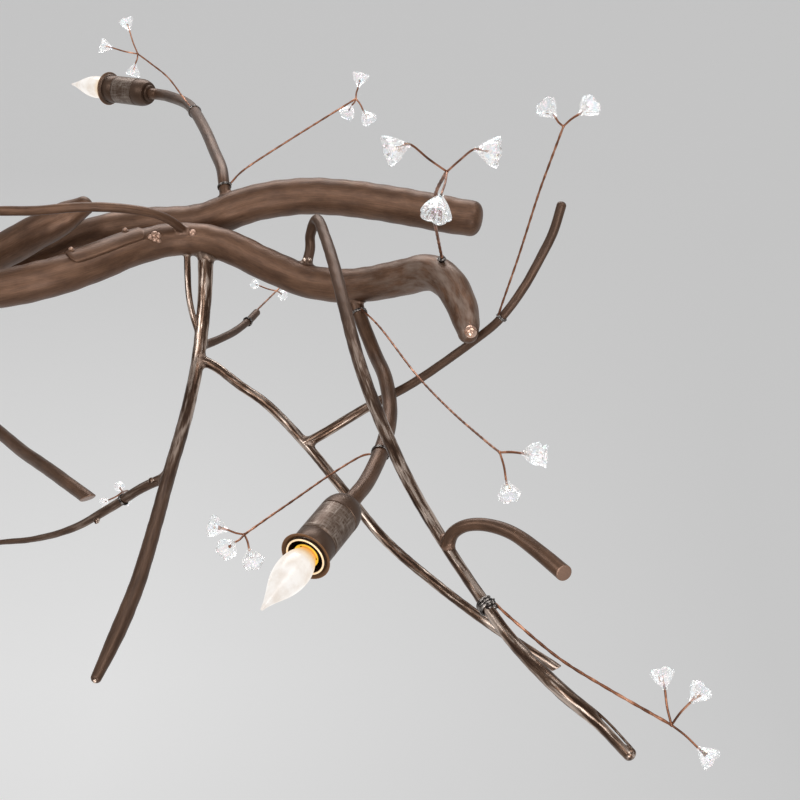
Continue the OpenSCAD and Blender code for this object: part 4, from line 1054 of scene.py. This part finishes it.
def sprays():
    wires, wraps, flowers = Shape(), Shape(), Shape()
    for i, s in enumerate(SPRAYS):
        start, side = spray_start(i, s)
        if i == TRUNK_SPRAY:
            blob(wraps, start - side * 1.2, (4.6, 3.6, 2.6), side, 60, 0.0)
            blob(wraps, start + side, (2.6, 3.2, 1.8), side, 63, 0.0)
        elif i == TIED_SPRAY:
            coil(wraps, s[0], s[2], s[1], 2.6, 3)
            knot(wraps, start - side * 2.5 - [0, 3.5, 0], 4.4)
            bead = start - side * 4.5 - [0, 5.5, 0]
            blob(wraps, bead, (3.6, 3.4, 3.2), (0, -1, 0), 75, 0.0, 0.05, 14, 24)
        else:
            coil(wraps, s[0], s[2], s[1], TIE_WIRE_D, 2)
            knot(wraps, start - side * 0.6, 2.0)
        wire(wires, [start] + s[3], WIRE_D * HEAVIER.get(i, 1), 8, 2.0, twist=24)
        blob(wires, s[3][-1], (1.3, 1.3, 1.5), seed=61, rough=0.05, rows=8, cols=12)
        for j, middle in enumerate(s[4]):
            fork, out, base = stalk_end(s, middle, BELL_WAY[j] if i == TRUNK_SPRAY else None)
            bow = unit(np.cross(out, RING_START)) * 0.8
            eye = base + out * s[5] * BLOSSOM_RISE * 0.5
            wire(wires, [fork, (fork + base) / 2 + bow, base, eye], STALK_D, 8, 2.0)
            blob(wires, eye, (1.5, 1.2, 0.9), out, 62, 0.0, 0.0, 8, 12)
            blossom(flowers, base, out, s[5], 100 + 7 * i + j)
    both_halves("spray_wire_runs", wires, COPPER, "spray_wires", 60)
    both_halves("spray_wraps", wraps, IRON, sharp=60)
    both_halves("blossom_glass", flowers, CRYSTAL, "blossoms", 60)


# ---- Stage, light and camera


def area(name, place, size, power, target=(0.35, 0, -0.5), spread=180):
    light = bpy.data.lights.new(name, "AREA")
    light.shape, light.size, light.size_y = "RECTANGLE", *size
    light.energy, light.spread = power, math.radians(spread)
    lamp = linked(name, light)
    lamp.location = place
    lamp.rotation_euler = (Vector(target) - lamp.location).to_track_quat("-Z", "Y").to_euler()


def backdrop():
    """A pale bowl: floor and wall in one smooth sheet all round the object."""
    floor_r, bend_r, floor_z = 4.2, 1.8, -2.2
    bend = [[floor_r + bend_r * math.sin(a), bend_r * (1 - math.cos(a))]
            for a in np.radians(range(10, 91, 10))]
    wall = [[floor_r + bend_r, z] for z in (3.5, 7.0)]
    profile = [[0.02, 0], [1.5, 0], [floor_r, 0]] + bend + wall
    rows = [[[r * math.cos(a), r * math.sin(a), z + floor_z] for a in circle(96)]
            for r, z in profile]
    shape = Shape()
    shape.grid(np.array(rows) / MM, caps=(True, False))
    mesh = shape.mesh("backdrop")
    n = Nodes("backdrop")
    # Paler low down and to the left as a painted light spill; darker at the front as painted shade
    # over the low lamp's patch.
    left, front, low = (
        n.clip(n.add("ShaderNodeSeparateXYZ", axis, {"Vector": n.place()}), *ends)
        for axis, ends in (("X", (2.2, -0.85)), ("Y", (1.2, -0.8)), ("Z", (0.6, -1.9))))
    grey = n.ramp(n.math("MULTIPLY", low, left), (0.0, (0.55,) * 3), (1.0, (0.72,) * 3))
    grey = n.mix(front, grey, (0.43,) * 3)
    n.set(base_color=grey, roughness=0.9, specular_ior_level=0.0, emission_color=grey,
          emission_strength=0.55)
    mesh.materials.append(n.material)
    bowl = linked("backdrop", mesh)
    bowl.visible_diffuse = False


def world():
    scene_world = bpy.data.worlds.new("studio")
    scene_world.use_nodes = True
    back = scene_world.node_tree.nodes["Background"]
    back.inputs["Color"].default_value = (1.0, 1.0, 1.0, 1)
    back.inputs["Strength"].default_value = 0.34
    bpy.context.scene.world = scene_world


def camera():
    data = bpy.data.cameras.new("camera")
    data.lens, data.sensor_width = 64.485, 36
    eye = linked("camera", data)
    eye.location = (0.502, -1.6, -0.59)
    eye.rotation_euler = (math.radians(90), 0, 0)
    bpy.context.scene.camera = eye


def carried_over():
    """Finishes for the fitted pieces whose shape comes straight from the frame."""
    for name in ("crossbar", "nipple", "canopy", "canopy_nut", "swivel_housing", "swivel_spindle",
                 "stem", "hub_boss", "hub_finial"):
        material = ZINC if name in ("crossbar", "nipple") else FITTING
        node = frame["nodes"][name]
        if not node.material_slots:
            node.data.materials.append(material)
        for slot in node.material_slots:
            slot.material = material


trunks()
wireway_cover()
cover_screws()
twigs()
lamps()
sprays()
carried_over()
backdrop()
world()
area("key", (1.9, -1.9, 1.6), (1.6, 1.4), 34)
area("left", (-1.6, -2.1, 0.5), (1.4, 1.4), 24)
area("front", (0.25, -2.7, 0.5), (0.7, 1.2), 19)
area("low", (0.9, -2.3, -1.7), (1.4, 1.2), 8.5, (0.35, 0, -0.4), 90)
area("top", (0.2, 0.9, 1.9), (2.2, 1.2), 46, (0.3, 0, -0.5))
camera()
bpy.context.scene.view_settings.view_transform = "Standard"
